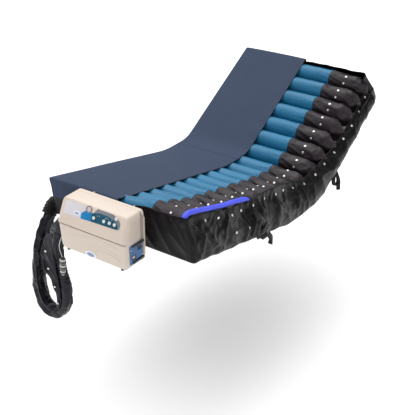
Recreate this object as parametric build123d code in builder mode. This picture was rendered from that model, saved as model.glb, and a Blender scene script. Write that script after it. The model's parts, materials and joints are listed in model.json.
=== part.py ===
from build123d import *
import math
import os

# Alternating pressure relief mattress with its hanging control unit.
# +X is across the bed, +Y runs from the foot to the head, +Z is up.
# The origin is the middle of the seat section's underside, which rests on the bed deck.

os.makedirs("parts", exist_ok=True)

# ---- driving dimensions, millimetres and degrees ----
width = 914.0            # across the sleeping surface
thickness = 215.0        # deck to top cover
cell_pitch = 112.9       # 18 cells along 2032
back_cells = 7
seat_cells = 2
leg_cells = 9
back_tilt = 30.5         # back section above level
leg_tilt = -12.5         # leg section rises towards the foot
fold_height = 173.0      # fold lines above the underside
back_gap = 11.0          # from the back fold line to the nearest cell
leg_gap = 4.5            # from the leg fold line to the nearest cell
fold_clearance = 0.5     # each side of a fold line, below it
cover_cut = 28.0         # top cover stops this far from a fold line

seat_half = (seat_cells * cell_pitch + back_gap + leg_gap) / 2
back_length = back_gap + back_cells * cell_pitch
leg_length = leg_gap + leg_cells * cell_pitch

base_sheet = 3.0
foam_height = 76.0
cell_floor = base_sheet + foam_height
cover_sheet = 3.0
cell_top = thickness - cover_sheet
cell_half_width = cell_pitch / 2 - 0.3
cell_half_length = 447.0
wall = 4.0
wall_height = 74.0
half_width = width / 2

snap_radius = 7.0
snap_height = 2.2
snap_sink = 1.0
snap_x = 312.0

pump_left = -210.0
pump_width = 432.0
pump_right = pump_left + pump_width
pump_mid = pump_left + pump_width / 2
pump_back = -1174.0
pump_depth = 169.0
pump_floor = 195.0
pump_height = 282.0
pump_wall = 3.0
pump_parting = 26.0      # depth of the rear housing
ledge_height = 163.0     # lower edge of the sloping control face
ledge_lip = 6.0
top_depth = 116.0        # flat top, back to front

sleeve_radius = 38.0
collar_radius = 42.0
button_radius = 10.0
button_travel = 1.5

# ---- places ----


def fold(section):
    """The tilt of a section and the y of its fold line."""
    places = {
        "back": (back_tilt, seat_half),
        "seat": (0.0, 0.0),
        "leg": (leg_tilt, -seat_half),
    }
    return places[section]


def point_on(section, x, u, v):
    """A point x across, u towards the head from the fold line, v above the underside."""
    tilt, y = fold(section)
    c = math.cos(math.radians(tilt))
    s = math.sin(math.radians(tilt))
    rise = v - fold_height
    return Vector(x, y + u * c - rise * s, fold_height + u * s + rise * c)


def direction_on(section, du, dv):
    c = math.cos(math.radians(fold(section)[0]))
    s = math.sin(math.radians(fold(section)[0]))
    return Vector(0, du * c - dv * s, du * s + dv * c)


def side_plane(section, x):
    """Local x runs along the bed and local y up, on the underside at the fold line."""
    return Plane(point_on(section, x, 0, 0), x_dir=direction_on(section, 1, 0), z_dir=(1, 0, 0))


def end_plane(section, u):
    """Local x runs across the bed and local y up, looking from the foot."""
    return Plane(point_on(section, 0, u, 0), x_dir=(1, 0, 0), z_dir=direction_on(section, -1, 0))


def save(builder, label):
    builder.part.label = label
    export_step(builder.part, f"parts/{label}.step")


def span(section, clearance):
    """The two ends of a section, measured from its fold line."""
    if section == "back":
        return clearance, back_length
    if section == "seat":
        return -seat_half + clearance, seat_half - clearance
    return -leg_length, -clearance


def cell_places():
    """Section and middle of each cell, from the head to the foot."""
    places = []
    for i in range(back_cells):
        places.append(("back", back_length - (i + 0.5) * cell_pitch))
    for i in range(seat_cells):
        places.append(("seat", seat_half - back_gap - (i + 0.5) * cell_pitch))
    for i in range(leg_cells):
        places.append(("leg", -leg_gap - (i + 0.5) * cell_pitch))
    return places


# ---- air cells, each a tube across the bed with a round top ----

arc_height = cell_top - cell_half_width
snap_angles = (3.0, -42.0)


def snap_planes(section, u):
    """Where the four snaps of one cell stand on its crown, facing outwards."""
    planes = []
    for x in (-snap_x, snap_x):
        for angle in snap_angles:
            a = math.radians(angle)
            reach = cell_half_width - snap_sink
            spot = point_on(section, x, u + reach * math.sin(a), arc_height + reach * math.cos(a))
            out = direction_on(section, math.sin(a), math.cos(a))
            planes.append(Plane(spot, x_dir=(1, 0, 0), z_dir=out))
    return planes


def air_cell(section, u):
    w = cell_half_width
    body = cell_half_length - 24
    with BuildPart() as cell:
        with BuildSketch(side_plane(section, -body)) as profile:
            with BuildLine():
                Polyline((u - w, arc_height), (u - w, cell_floor), (u + w, cell_floor), (u + w, arc_height))
                ThreePointArc((u + w, arc_height), (u, cell_top), (u - w, arc_height))
            make_face()
            fillet(profile.vertices().group_by(Axis.Z)[0], 24)
        extrude(amount=2 * body)
        for side in (Axis.X, -Axis.X):
            end = cell.faces().sort_by(side)[-1]
            extrude(end, amount=24, taper=24)
        for plane in snap_planes(section, u):
            with BuildSketch(plane):
                Circle(snap_radius)
            extrude(amount=6, mode=Mode.SUBTRACT)
    return cell


for number, (section, u) in enumerate(cell_places(), start=1):
    save(air_cell(section, u), f"air_cell_{number:02d}")

# ---- foam base, with a channel along its left side for the air lines ----

foam_left = -395.0
foam_right = half_width - wall - 1

for section in ("back", "seat", "leg"):
    low, high = span(section, fold_clearance + 1.0)
    low = low if section != "leg" else low + wall + 1
    high = high if section != "back" else high - wall - 1
    with BuildPart() as foam_base:
        with BuildSketch(end_plane(section, high)):
            with BuildLine():
                Polyline(
                    (foam_left, base_sheet),
                    (foam_right, base_sheet),
                    (foam_right, cell_floor),
                    (foam_left, cell_floor),
                    close=True,
                )
            make_face()
        extrude(amount=high - low)
    save(foam_base, f"foam_base_{section}")

# ---- base cover: an open tray under the foam ----

head_wall_height = 196.0
foot_wall_height = 200.0
elbow_u = -945.0
elbow_v = 40.0
sleeve_end = Vector(-505, -1100, 200)
sleeve_end_direction = Vector(9, 50, 85).normalized()


def tray(section, builder_span):
    low, high = builder_span
    with BuildPart() as cover:
        with BuildSketch(end_plane(section, high)):
            with BuildLine():
                Polyline(
                    (-half_width, 0),
                    (half_width, 0),
                    (half_width, wall_height),
                    (half_width - wall, wall_height),
                    (half_width - wall, base_sheet),
                    (-half_width + wall, base_sheet),
                    (-half_width + wall, wall_height),
                    (-half_width, wall_height),
                    close=True,
                )
            make_face()
        extrude(amount=high - low)
        if section == "back":
            with BuildSketch(end_plane(section, high + wall)):
                with Locations((0, head_wall_height / 2)):
                    Rectangle(width, head_wall_height)
            extrude(amount=wall)
        if section == "leg":
            with BuildSketch(end_plane(section, low)):
                with Locations((0, foot_wall_height / 2)):
                    Rectangle(width, foot_wall_height)
            extrude(amount=wall)
            elbow_corner = sleeve_end + sleeve_end_direction * 57
            with BuildSketch(Plane(sleeve_end, z_dir=sleeve_end_direction)):
                Circle(collar_radius)
            extrude(amount=57)
            with Locations(elbow_corner):
                Sphere(collar_radius)
            with BuildSketch(Plane((elbow_corner.X, elbow_corner.Y, elbow_corner.Z), z_dir=(1, 0, 0))):
                Circle(collar_radius - 3)
            extrude(amount=-half_width - elbow_corner.X)
    return cover


for section in ("back", "seat", "leg"):
    save(tray(section, span(section, fold_clearance)), f"base_cover_{section}")

# ---- side flap, unbuttoned and standing up beside the right ends of the cells ----

flap_sheet = 8.0
flap_foot = 24.0
flap_top = 216.0
flap_head_end = 70.0     # bare length at the head end
flap_relief = 28.0       # its upper corners stand back from each fold line by this much

for section in ("back", "seat", "leg"):
    low, high = span(section, fold_clearance)
    high = high if section != "back" else high - flap_head_end
    low_corner = low if section == "leg" else low + flap_relief
    high_corner = high if section == "back" else high - flap_relief
    with BuildPart() as side_flap:
        with BuildSketch(side_plane(section, half_width + 1)):
            with BuildLine():
                Polyline(
                    (low, flap_foot),
                    (high, flap_foot),
                    (high, fold_height - 3),
                    (high_corner, flap_top),
                    (low_corner, flap_top),
                    (low, fold_height - 3),
                    close=True,
                )
            make_face()
        extrude(amount=flap_sheet)
    save(side_flap, f"side_flap_{section}")

# ---- press snaps: two on each end of every cell ----

for section in ("back", "seat", "leg"):
    with BuildPart() as snaps:
        for place, u in cell_places():
            if place != section:
                continue
            for plane in snap_planes(section, u):
                with BuildSketch(plane):
                    Circle(snap_radius)
                extrude(amount=snap_height)
    save(snaps, f"cell_snaps_{section}")

# ---- top cover, folded back to lie on the left half only ----

cover_right = -10.0
cover_side = half_width + 7
skirt_foot = 95.0
cover_groove = 2.0       # room over the hidden snaps

for section in ("back", "seat", "leg"):
    low, high = span(section, cover_cut)
    with BuildPart() as top_cover:
        with BuildSketch(end_plane(section, high)):
            with BuildLine():
                Polyline(
                    (-cover_side, skirt_foot),
                    (-cover_side + cover_sheet, skirt_foot),
                    (-cover_side + cover_sheet, cell_top + 0.3),
                    (cover_right, cell_top + 0.3),
                    (cover_right, thickness + 0.3),
                    (-cover_side, thickness + 0.3),
                    close=True,
                )
            make_face()
            with Locations((-snap_x, cell_top)):
                Rectangle(2 * snap_radius + 4, 2 * cover_groove, mode=Mode.SUBTRACT)
        extrude(amount=high - low)
    save(top_cover, f"top_cover_{section}")

# ---- air lines in the channel, with a riser to every other cell each ----

line_radius = 8.0
line_height = 22.0
riser_radius = 5.0
line_places = (-412.0, -436.0)

for section in ("back", "seat", "leg"):
    low, high = span(section, 6.0)
    low = low if section != "leg" else low + wall + 6
    high = high if section != "back" else high - wall - 6
    with BuildPart() as air_line:
        for i, x in enumerate(line_places):
            with BuildSketch(end_plane(section, high)):
                with Locations((x, line_height)):
                    Circle(line_radius)
            extrude(amount=high - low)
            for number, (place, u) in enumerate(cell_places()):
                if place != section or number % 2 != i:
                    continue
                foot = point_on(section, x, u, line_height)
                with BuildSketch(Plane(foot, x_dir=(1, 0, 0), z_dir=direction_on(section, 0, 1))):
                    Circle(riser_radius)
                extrude(amount=cell_floor - line_height)
    save(air_line, f"air_line_{section}")

# ---- padded carry handle lying along the ends of the foot cells ----

handle_low = -1000.0
handle_high = -415.0
handle_radius = 17.0
handle_x = 400.0

with BuildPart() as carry_handle:
    with BuildSketch(end_plane("leg", handle_high)):
        with Locations((handle_x, cell_top + handle_radius + 1)):
            Circle(handle_radius)
    extrude(amount=handle_high - handle_low)
    fillet(carry_handle.edges().filter_by(GeomType.CIRCLE), 12)
save(carry_handle, "carry_handle")

# ---- webbing straps hanging from the right edge ----

strap_width = 38.0
strap_sheet = 2.5
strap_drop = 130.0


def strap(section, u):
    """A tail that hangs plumb from the lower edge, sewn to the cover's wall."""
    top = point_on(section, 0, u, 14)
    with BuildPart() as tail:
        with BuildSketch(Plane((half_width, top.Y, top.Z), x_dir=(0, 1, 0), z_dir=(1, 0, 0))):
            with Locations((0, -strap_drop / 2)):
                Rectangle(strap_width, strap_drop)
        extrude(amount=strap_sheet)
    return tail


for name, section, u in (("strap_head", "back", 200.0), ("strap_foot", "leg", -380.0)):
    save(strap(section, u), name)

# ---- control unit housing ----


def pump_side(x):
    """Local x runs towards the head and local y up, from the lower back edge."""
    return Plane((x, pump_back, pump_floor), x_dir=(0, 1, 0), z_dir=(1, 0, 0))


def housing_block(inset):
    """The housing's outer form, drawn in by the wall's thickness for its inside."""
    with BuildPart() as block:
        with BuildSketch(pump_side(pump_left + inset)) as profile:
            with BuildLine():
                Polyline(
                    (0, 0),
                    (-pump_depth + ledge_lip + 6, 0),
                    (-pump_depth + ledge_lip, ledge_height - 8),
                    (-pump_depth, ledge_height),
                    (-top_depth, pump_height),
                    (0, pump_height),
                    close=True,
                )
            make_face()
            fillet(profile.vertices().group_by(Axis.Z)[-1].sort_by(Axis.Y)[0], 12)
            offset(amount=-inset, kind=Kind.INTERSECTION, mode=Mode.REPLACE)
        extrude(amount=pump_width - 2 * inset)
        if inset == 0:
            ends = block.faces().filter_by(Axis.X).edges()
            fillet(ends, 5)
    return block.part


outer_block = housing_block(0)
inner_block = housing_block(pump_wall)
parting = Plane((0, pump_back - pump_parting, 0), z_dir=(0, 1, 0))

face_angle = math.atan2(pump_depth - top_depth, pump_height - ledge_height)
face_length = math.hypot(pump_depth - top_depth, pump_height - ledge_height)
face_middle = Vector(
    pump_mid,
    pump_back - (pump_depth + top_depth) / 2,
    pump_floor + (pump_height + ledge_height) / 2,
)
control_face = Plane(
    face_middle,
    x_dir=(1, 0, 0),
    z_dir=(0, -math.cos(face_angle), math.sin(face_angle)),
)
button_places = ((8, 10), (72, 11), (107, 12), (138, 12), (141, 43))

plate_y = pump_back - 80
plate_z = pump_floor + 80
plate_depth = 100.0
plate_height = 105.0
plate_sheet = 2.5
rocker_y = plate_y + 24
rocker_z = plate_z + 24
rocker_gap = (26.0, 33.0)
inlet_y = plate_y - 20
inlet_z = plate_z - 18
inlet_gap = (31.0, 24.0)
window_inset = 6.0       # the plate laps the housing's window by this much

with BuildPart() as front_housing:
    add(outer_block)
    add(inner_block, mode=Mode.SUBTRACT)
    split(bisect_by=parting, keep=Keep.BOTTOM)
    with BuildSketch(control_face):
        with Locations(*button_places):
            Circle(button_radius + 0.4)
    extrude(amount=-3 * pump_wall, mode=Mode.SUBTRACT)
    with BuildSketch(Plane((pump_right, plate_y, plate_z), x_dir=(0, 1, 0), z_dir=(1, 0, 0))):
        Rectangle(plate_depth - 2 * window_inset, plate_height - 2 * window_inset)
    extrude(amount=-2 * pump_wall, mode=Mode.SUBTRACT)
save(front_housing, "front_housing")

# ---- rear housing, with screw bosses and the lugs that carry the hanger ----

screw_radius = 2.0
screw_places = [(-180, 30), (180, 30), (-180, 225), (180, 225)]
hanger_y = pump_back + 8
hanger_z = pump_floor + pump_height - 20
hanger_rod = 4.0
lug_places = (pump_mid - 95, pump_mid + 95)


def back_plane(y):
    """Local x runs across and local y up, facing the head, from the unit's lower edge."""
    return Plane((pump_mid, y, pump_floor), x_dir=(-1, 0, 0), z_dir=(0, 1, 0))


with BuildPart() as rear_housing:
    add(outer_block)
    add(inner_block, mode=Mode.SUBTRACT)
    split(bisect_by=parting, keep=Keep.TOP)
    with BuildSketch(back_plane(pump_back - pump_wall)):
        with Locations(*screw_places):
            Circle(6)
    extrude(amount=-(pump_parting - pump_wall))
    with BuildSketch(back_plane(pump_back)):
        with Locations(*screw_places):
            Circle(screw_radius + 0.05)
    extrude(amount=-pump_parting, mode=Mode.SUBTRACT)
    for x in lug_places:
        with BuildSketch(Plane((x - 7, hanger_y, hanger_z), x_dir=(0, 1, 0), z_dir=(1, 0, 0))):
            Circle(7.5)
            with Locations((-4, 0)):
                Rectangle(8, 15)
            Circle(hanger_rod + 0.05, mode=Mode.SUBTRACT)
        extrude(amount=14)
save(rear_housing, "rear_housing")

with BuildPart() as housing_screws:
    with BuildSketch(back_plane(pump_back)):
        with Locations(*screw_places):
            Circle(4.5)
    extrude(amount=2.2)
    with BuildSketch(back_plane(pump_back)):
        with Locations(*screw_places):
            Circle(screw_radius)
    extrude(amount=-20)
save(housing_screws, "housing_screws")

# ---- hanger: a one-piece bail that swings in the lugs and hooks over a footboard ----

hook_reach = 24.0
hook_drop = 46.0
hook_x = (pump_mid - 130, pump_mid + 130)

with BuildPart() as hanger_bail:
    with BuildSketch(Plane((hook_x[0], hanger_y, hanger_z), z_dir=(1, 0, 0))):
        Circle(hanger_rod)
    extrude(amount=hook_x[1] - hook_x[0])
    for x in hook_x:
        with BuildLine() as wire:
            FilletPolyline(
                (x, hanger_y, hanger_z),
                (x, hanger_y + hook_reach, hanger_z),
                (x, hanger_y + hook_reach, hanger_z - hook_drop),
                radius=9,
            )
        with BuildSketch(Plane((x, hanger_y, hanger_z), z_dir=(0, 1, 0))):
            Circle(hanger_rod)
        sweep(path=wire.wire())
        with Locations((x, hanger_y, hanger_z)):
            Sphere(hanger_rod)
save(hanger_bail, "hanger_bail")

# ---- control panel and its five buttons ----

panel_sheet = 1.2

with BuildPart() as control_panel:
    with BuildSketch(control_face):
        with Locations((49, 7)):
            RectangleRounded(240, 42, 8)
        with BuildLine():
            Polyline((-8, 26), (10, 55), (120, 55), (167, 44), (167, 0), (-8, 0), close=True)
        make_face()
        with Locations(*button_places):
            Circle(button_radius + 0.4, mode=Mode.SUBTRACT)
    extrude(amount=panel_sheet)
save(control_panel, "control_panel")

for number, place in enumerate(button_places, start=1):
    with BuildPart() as button:
        with BuildSketch(control_face.offset(-4)):
            with Locations(place):
                Circle(button_radius)
        extrude(amount=4 + panel_sheet + 2.4)
        fillet(button.edges().filter_by(GeomType.CIRCLE).sort_by(Axis.Y)[0], 1.2)
    save(button, f"button_{number}")

# ---- blue side plate with the mains switch, the mains inlet and two clips ----

plate_plane = Plane((pump_right, plate_y, plate_z), x_dir=(0, 1, 0), z_dir=(1, 0, 0))

with BuildPart() as side_plate:
    with BuildSketch(plate_plane):
        RectangleRounded(plate_depth, plate_height, 5)
        with Locations((rocker_y - plate_y, rocker_z - plate_z)):
            Rectangle(*rocker_gap, mode=Mode.SUBTRACT)
        with Locations((inlet_y - plate_y, inlet_z - plate_z)):
            Rectangle(*inlet_gap, mode=Mode.SUBTRACT)
    extrude(amount=plate_sheet)
save(side_plate, "side_plate")

rocker_x = pump_right + 0.5

with BuildPart() as rocker_switch:
    with BuildSketch(Plane((rocker_x, rocker_y + 12, rocker_z), x_dir=(1, 0, 0), z_dir=(0, -1, 0))):
        with BuildLine():
            Polyline((-5, -14), (5, -14), (3.5, 0), (5, 14), (-5, 14), close=True)
        make_face()
    extrude(amount=24)
save(rocker_switch, "rocker_switch")

socket = (24.0, 16.5)
socket_depth = 17.0
inlet_depth = 22.0

with BuildPart() as power_inlet:
    with BuildSketch(Plane((pump_right + plate_sheet + 1, inlet_y, inlet_z), x_dir=(0, 1, 0), z_dir=(1, 0, 0))):
        Rectangle(30.4, 23.4)
    extrude(amount=-inlet_depth)
    with BuildSketch(Plane((pump_right + plate_sheet + 1, inlet_y, inlet_z), x_dir=(0, 1, 0), z_dir=(1, 0, 0))):
        Rectangle(*socket)
    extrude(amount=-socket_depth, mode=Mode.SUBTRACT)
save(power_inlet, "power_inlet")

with BuildPart() as plate_clips:
    for z in (plate_z - plate_height / 2 + 7, plate_z + plate_height / 2 - 7):
        with BuildSketch(Plane((pump_right + plate_sheet, plate_y + 12, z), x_dir=(0, 1, 0), z_dir=(1, 0, 0))):
            RectangleRounded(84, 10, 2)
        extrude(amount=6)
save(plate_clips, "plate_clips")

# ---- inside the control unit ----

inner_floor = pump_floor + pump_wall

with BuildPart() as compressor:
    with BuildSketch(Plane((pump_mid - 150, pump_back - 85, inner_floor + 62), z_dir=(1, 0, 0))):
        Circle(42)
    extrude(amount=170)
    fillet(compressor.edges().filter_by(GeomType.CIRCLE), 5)
    with Locations((pump_mid - 65, pump_back - 85, inner_floor + 14)):
        Box(150, 60, 28)
save(compressor, "compressor")

with BuildPart() as valve_block:
    with Locations((pump_mid + 75, pump_back - 75, inner_floor + 35)):
        Box(70, 60, 70)
    for x in (pump_mid + 60, pump_mid + 90):
        with BuildSketch(Plane((x, pump_back - 75, inner_floor + 70), z_dir=(0, 0, 1))):
            Circle(5)
        extrude(amount=18)
save(valve_block, "valve_block")

with BuildPart() as circuit_board:
    with Locations((pump_mid + 40, pump_back - 115, pump_floor + 195)):
        Box(230, 1.6, 90)
    with Locations((pump_mid - 20, pump_back - 109.2, pump_floor + 195)):
        Box(40, 10, 30)
    with Locations((pump_mid + 90, pump_back - 110.2, pump_floor + 180)):
        Box(24, 8, 24)
save(circuit_board, "circuit_board")

with BuildPart() as pump_feet:
    with BuildSketch(Plane((pump_mid, pump_back - 82, pump_floor), z_dir=(0, 0, -1))):
        with GridLocations(350, 110, 2, 2):
            Circle(10)
    extrude(amount=6)
save(pump_feet, "pump_feet")

# ---- hose bundle in its fabric sleeve: a slack loop from the unit to the mattress ----

sleeve_route = [
    (-235, -1219, 282),
    (-300, -1219, 262),
    (-338, -1217, 180),
    (-354, -1213, 80),
    (-346, -1209, -30),
    (-324, -1209, -150),
    (-330, -1209, -272),
    (-398, -1209, -357),
    (-484, -1208, -336),
    (-528, -1204, -226),
    (-530, -1196, -104),
    (-524, -1182, 15),
    (-514, -1150, 115),
    (-505, -1100, 200),
]


def arc_radii(points):
    """The largest radius at each corner that both of its runs have room for."""
    radii = []
    for a, b, c in zip(points, points[1:], points[2:]):
        before = Vector(b) - Vector(a)
        after = Vector(c) - Vector(b)
        shorter = min(before.length, after.length)
        turn = math.radians(before.get_angle(after))
        radii.append(0.45 * shorter / math.tan(turn / 2))
    return radii


sleeve_radii = arc_radii(sleeve_route)
print("sleeve radii", [round(r) for r in sleeve_radii])

with BuildPart() as hose_sleeve:
    with BuildLine() as sleeve_path:
        FilletPolyline(*sleeve_route, radius=sleeve_radii)
    with BuildSketch(Plane(sleeve_path.wire() @ 0, z_dir=sleeve_path.wire() % 0)):
        Circle(sleeve_radius)
    sweep(path=sleeve_path.wire())
sleeve_length = sleeve_path.wire().length
section_area = math.pi * sleeve_radius**2
print("sleeve length", round(sleeve_length), "volume ratio",
      round(hose_sleeve.part.volume / (section_area * sleeve_length), 4))
save(hose_sleeve, "hose_sleeve")

start = Vector(*sleeve_route[0])
start_direction = (Vector(*sleeve_route[1]) - start).normalized()

with BuildPart() as hose_connector:
    with BuildSketch(Plane(start - start_direction * 60, z_dir=start_direction)):
        Circle(collar_radius)
    extrude(amount=60)
    split(bisect_by=Plane((pump_left, 0, 0), z_dir=(1, 0, 0)), keep=Keep.BOTTOM)
save(hose_connector, "hose_connector")

# ---- ribbed quick coupling that hangs beside the sleeve ----

coupling_top = (-283, -1246, 62)
coupling_radius = 13.0

with BuildPart() as hose_coupling:
    with BuildSketch(Plane(coupling_top, z_dir=(-0.08, 0, -1))):
        Circle(coupling_radius)
    extrude(amount=96)
    for i in range(5):
        rib = Vector(*coupling_top) + Vector(-0.08, 0, -1).normalized() * (8 + 18 * i)
        with BuildSketch(Plane(rib, z_dir=(-0.08, 0, -1))):
            Circle(coupling_radius + 3)
        extrude(amount=8)
save(hose_coupling, "hose_coupling")
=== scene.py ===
"""Pressure relief mattress: the looks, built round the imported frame.

Metres, +X across to the right, +Y to the head, +Z up.
"""

import json
import math

import bmesh
import bpy
import numpy as np
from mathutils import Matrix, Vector


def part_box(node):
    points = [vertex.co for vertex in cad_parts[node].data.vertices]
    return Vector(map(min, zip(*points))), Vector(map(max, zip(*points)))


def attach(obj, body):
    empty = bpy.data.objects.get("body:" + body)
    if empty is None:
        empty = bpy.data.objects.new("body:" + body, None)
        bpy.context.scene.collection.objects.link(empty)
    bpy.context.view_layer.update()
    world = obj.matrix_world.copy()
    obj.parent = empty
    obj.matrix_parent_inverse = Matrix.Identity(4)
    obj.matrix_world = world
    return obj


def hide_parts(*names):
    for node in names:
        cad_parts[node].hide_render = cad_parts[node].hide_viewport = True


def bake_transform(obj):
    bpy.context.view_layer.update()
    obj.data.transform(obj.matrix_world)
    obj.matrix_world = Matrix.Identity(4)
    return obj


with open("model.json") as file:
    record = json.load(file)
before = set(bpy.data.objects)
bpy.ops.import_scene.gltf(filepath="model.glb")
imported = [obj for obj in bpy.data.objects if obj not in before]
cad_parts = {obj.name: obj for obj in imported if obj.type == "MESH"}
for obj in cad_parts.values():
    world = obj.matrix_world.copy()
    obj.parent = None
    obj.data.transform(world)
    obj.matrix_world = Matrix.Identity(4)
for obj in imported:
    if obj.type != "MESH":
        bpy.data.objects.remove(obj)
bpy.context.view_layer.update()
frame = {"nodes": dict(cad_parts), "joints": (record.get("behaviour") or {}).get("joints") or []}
joints = {joint["name"]: joint for joint in frame["joints"]}

# ---- camera ----

AZIMUTH, ELEVATION, DISTANCE, LENS = 34.7, 28.26, 5.8, 80.2
AIM = Vector((-0.202, -0.031, -0.148))


def make_camera():
    a, e = math.radians(AZIMUTH), math.radians(ELEVATION)
    back = Vector((math.sin(a) * math.cos(e), -math.cos(a) * math.cos(e), math.sin(e)))
    camera = bpy.data.objects.new("camera", bpy.data.cameras.new("camera"))
    bpy.context.scene.collection.objects.link(camera)
    camera.data.lens = LENS
    camera.data.sensor_width = 36
    camera.location = AIM + back * DISTANCE
    camera.rotation_mode = "QUATERNION"
    camera.rotation_quaternion = (-back).to_track_quat("-Z", "Y")
    bpy.context.scene.camera = camera


make_camera()

# ---- driving sizes ----

HALF_WIDTH = 0.457
PITCH = 0.1129
BACK_CELLS, SEAT_CELLS, LEG_CELLS = 7, 2, 9
BACK_GAP, LEG_GAP = 0.011, 0.0045
BACK_TILT, LEG_TILT = math.radians(30.5), math.radians(12.5)
SEAT_HALF = joints["back_fold"]["pos_m"][1]
FOLD_V = joints["back_fold"]["pos_m"][2]
BACK_END = SEAT_HALF + BACK_GAP + BACK_CELLS * PITCH
LEG_END = -(SEAT_HALF + LEG_GAP + LEG_CELLS * PITCH)
BEND = 0.075             # half length of the soft bend at each fold
CELL_FLOOR, CELL_TOP = 0.0795, 0.212
CELL_HALF = PITCH / 2 - 0.0006
BORDER_X = 0.207         # where the blue cloth is sewn to the dark ends
SNAP_X = 0.312
COVER_V = 0.2155
FOOT_LEAN = 0.060        # how far the foot end slopes inwards from its top to the deck


def smooth(t):
    t = np.clip(t, 0, 1)
    return t * t * (3 - 2 * t)


def bump(x, middle, width):
    return np.exp(-(((x - middle) / width) ** 2))


def leaned(s, v):
    """The last cells and the fabric round them lean out over the foot, so the underside ends earlier."""
    return s + FOOT_LEAN * np.clip(1 - v / COVER_V, 0, 1) * smooth((-s - 0.84) / 0.30)


def crown(x, s):
    """How much higher than its edge the inflated surface stands; the bare half swells a little more."""
    middle = 0.012 * (1 - np.clip(np.abs(x) / 0.47, 0, 1) ** 3)
    bare = bump(x, 0.30, 0.10) * (0.006 + 0.008 * smooth((-s - 0.10) / 0.1)) * (x > 0)
    return middle + bare


def bent(x, s, v):
    """Points at x across, s along the bed from its middle and v above the underside, round both bends."""
    x, s, v = np.broadcast_arrays(*(np.asarray(k, float) for k in (x, s, v)))
    s = leaned(s, v)
    side = np.where(s < 0, -1.0, 1.0)
    theta = np.where(s < 0, LEG_TILT, BACK_TILT)
    along, rise = np.abs(s), v - FOLD_V
    radius = BEND / np.tan(theta / 2)
    phi = np.clip((along - SEAT_HALF + BEND) / (2 * BEND), 0, 1) * theta
    spine_y = SEAT_HALF - BEND + radius * np.sin(phi)
    spine_z = FOLD_V + radius * (1 - np.cos(phi))
    beyond = along - SEAT_HALF
    flat, far = along < SEAT_HALF - BEND, beyond > BEND
    y = np.where(flat, along, spine_y - rise * np.sin(phi))
    z = np.where(flat, v, spine_z + rise * np.cos(phi))
    y = np.where(far, SEAT_HALF + beyond * np.cos(theta) - rise * np.sin(theta), y)
    z = np.where(far, FOLD_V + beyond * np.sin(theta) + rise * np.cos(theta), z)
    return np.stack([x, side * y, z], axis=-1)


def body_at(s):
    if s > SEAT_HALF:
        return "back_section"
    return "leg_section" if s < -SEAT_HALF else "seat_section"


def cell_middles():
    """Distance of each cell's middle from the seat's middle, from the head to the foot."""
    middles = [BACK_END - (i + 0.5) * PITCH for i in range(BACK_CELLS)]
    middles += [SEAT_HALF - BACK_GAP - (i + 0.5) * PITCH for i in range(SEAT_CELLS)]
    return middles + [-SEAT_HALF - LEG_GAP - (i + 0.5) * PITCH for i in range(LEG_CELLS)]


# ---- mesh helpers ----


def waves(points, size, seed, count=12):
    """Smooth uneven waves from about -1 to 1, with features about size across."""
    rng = np.random.default_rng(seed)
    total = np.zeros(points.shape[:-1])
    for _ in range(count):
        direction = rng.normal(size=points.shape[-1])
        direction /= np.linalg.norm(direction)
        wave = 2 * math.pi / size * rng.uniform(0.5, 1.5)
        total += np.sin(points @ direction * wave + rng.uniform(0, 2 * math.pi))
    return total / math.sqrt(count)


def creases(points, size, seed):
    """Rounded folds with sharper valleys between them, from 0 to 1."""
    return 1 - np.abs(np.tanh(1.6 * waves(points, size, seed)))


def mesh_object(name, points, faces, materials, shade=True):
    mesh = bpy.data.meshes.new(name)
    mesh.from_pydata([tuple(map(float, p)) for p in points], [], [tuple(map(int, f)) for f in faces])
    for m in materials if isinstance(materials, (list, tuple)) else [materials]:
        mesh.materials.append(m)
    if shade:
        mesh.polygons.foreach_set("use_smooth", [True] * len(mesh.polygons))
    mesh.validate()
    piece = bpy.data.objects.new(name, mesh)
    bpy.context.scene.collection.objects.link(piece)
    return piece


def grid_faces(rows, columns, closed=False, start=0):
    """Quads between rows of points; closed joins each row's last point to its first."""
    faces = []
    for i in range(rows - 1):
        for j in range(columns if closed else columns - 1):
            k = (j + 1) % columns
            faces.append(
                (start + i * columns + j, start + i * columns + k,
                 start + (i + 1) * columns + k, start + (i + 1) * columns + j)
            )
    return faces


def shade_smooth(piece):
    piece.data.polygons.foreach_set("use_smooth", [True] * len(piece.data.polygons))


def face_outwards(piece):
    """Makes every face of a closed mesh look outwards."""
    bm = bmesh.new()
    bm.from_mesh(piece.data)
    bmesh.ops.recalc_face_normals(bm, faces=bm.faces)
    bm.to_mesh(piece.data)
    bm.free()


def grid_object(name, points, material, closed=False):
    rows, columns = points.shape[:2]
    return mesh_object(name, points.reshape(-1, 3), grid_faces(rows, columns, closed), material)


def add_thickness(piece, thickness, offset=-1):
    solid = piece.modifiers.new("thickness", "SOLIDIFY")
    solid.thickness = thickness
    solid.offset = offset


def soften(piece, width, segments=3, angle=30):
    bevel = piece.modifiers.new("bevel", "BEVEL")
    bevel.width = width
    bevel.segments = segments
    bevel.limit_method = "ANGLE"
    bevel.angle_limit = math.radians(angle)
    bevel.harden_normals = True


def joined(name, pieces):
    """One object from several, which are removed."""
    bm = bmesh.new()
    materials = []
    for piece in pieces:
        shift = len(materials)
        materials += list(piece.data.materials)
        before = len(bm.faces)
        bm.from_mesh(piece.data)
        bm.faces.ensure_lookup_table()
        for face in bm.faces[before:]:
            face.material_index += shift
        bpy.data.objects.remove(piece)
    mesh = bpy.data.meshes.new(name)
    bm.to_mesh(mesh)
    bm.free()
    for m in materials:
        mesh.materials.append(m)
    result = bpy.data.objects.new(name, mesh)
    bpy.context.scene.collection.objects.link(result)
    return result


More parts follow.
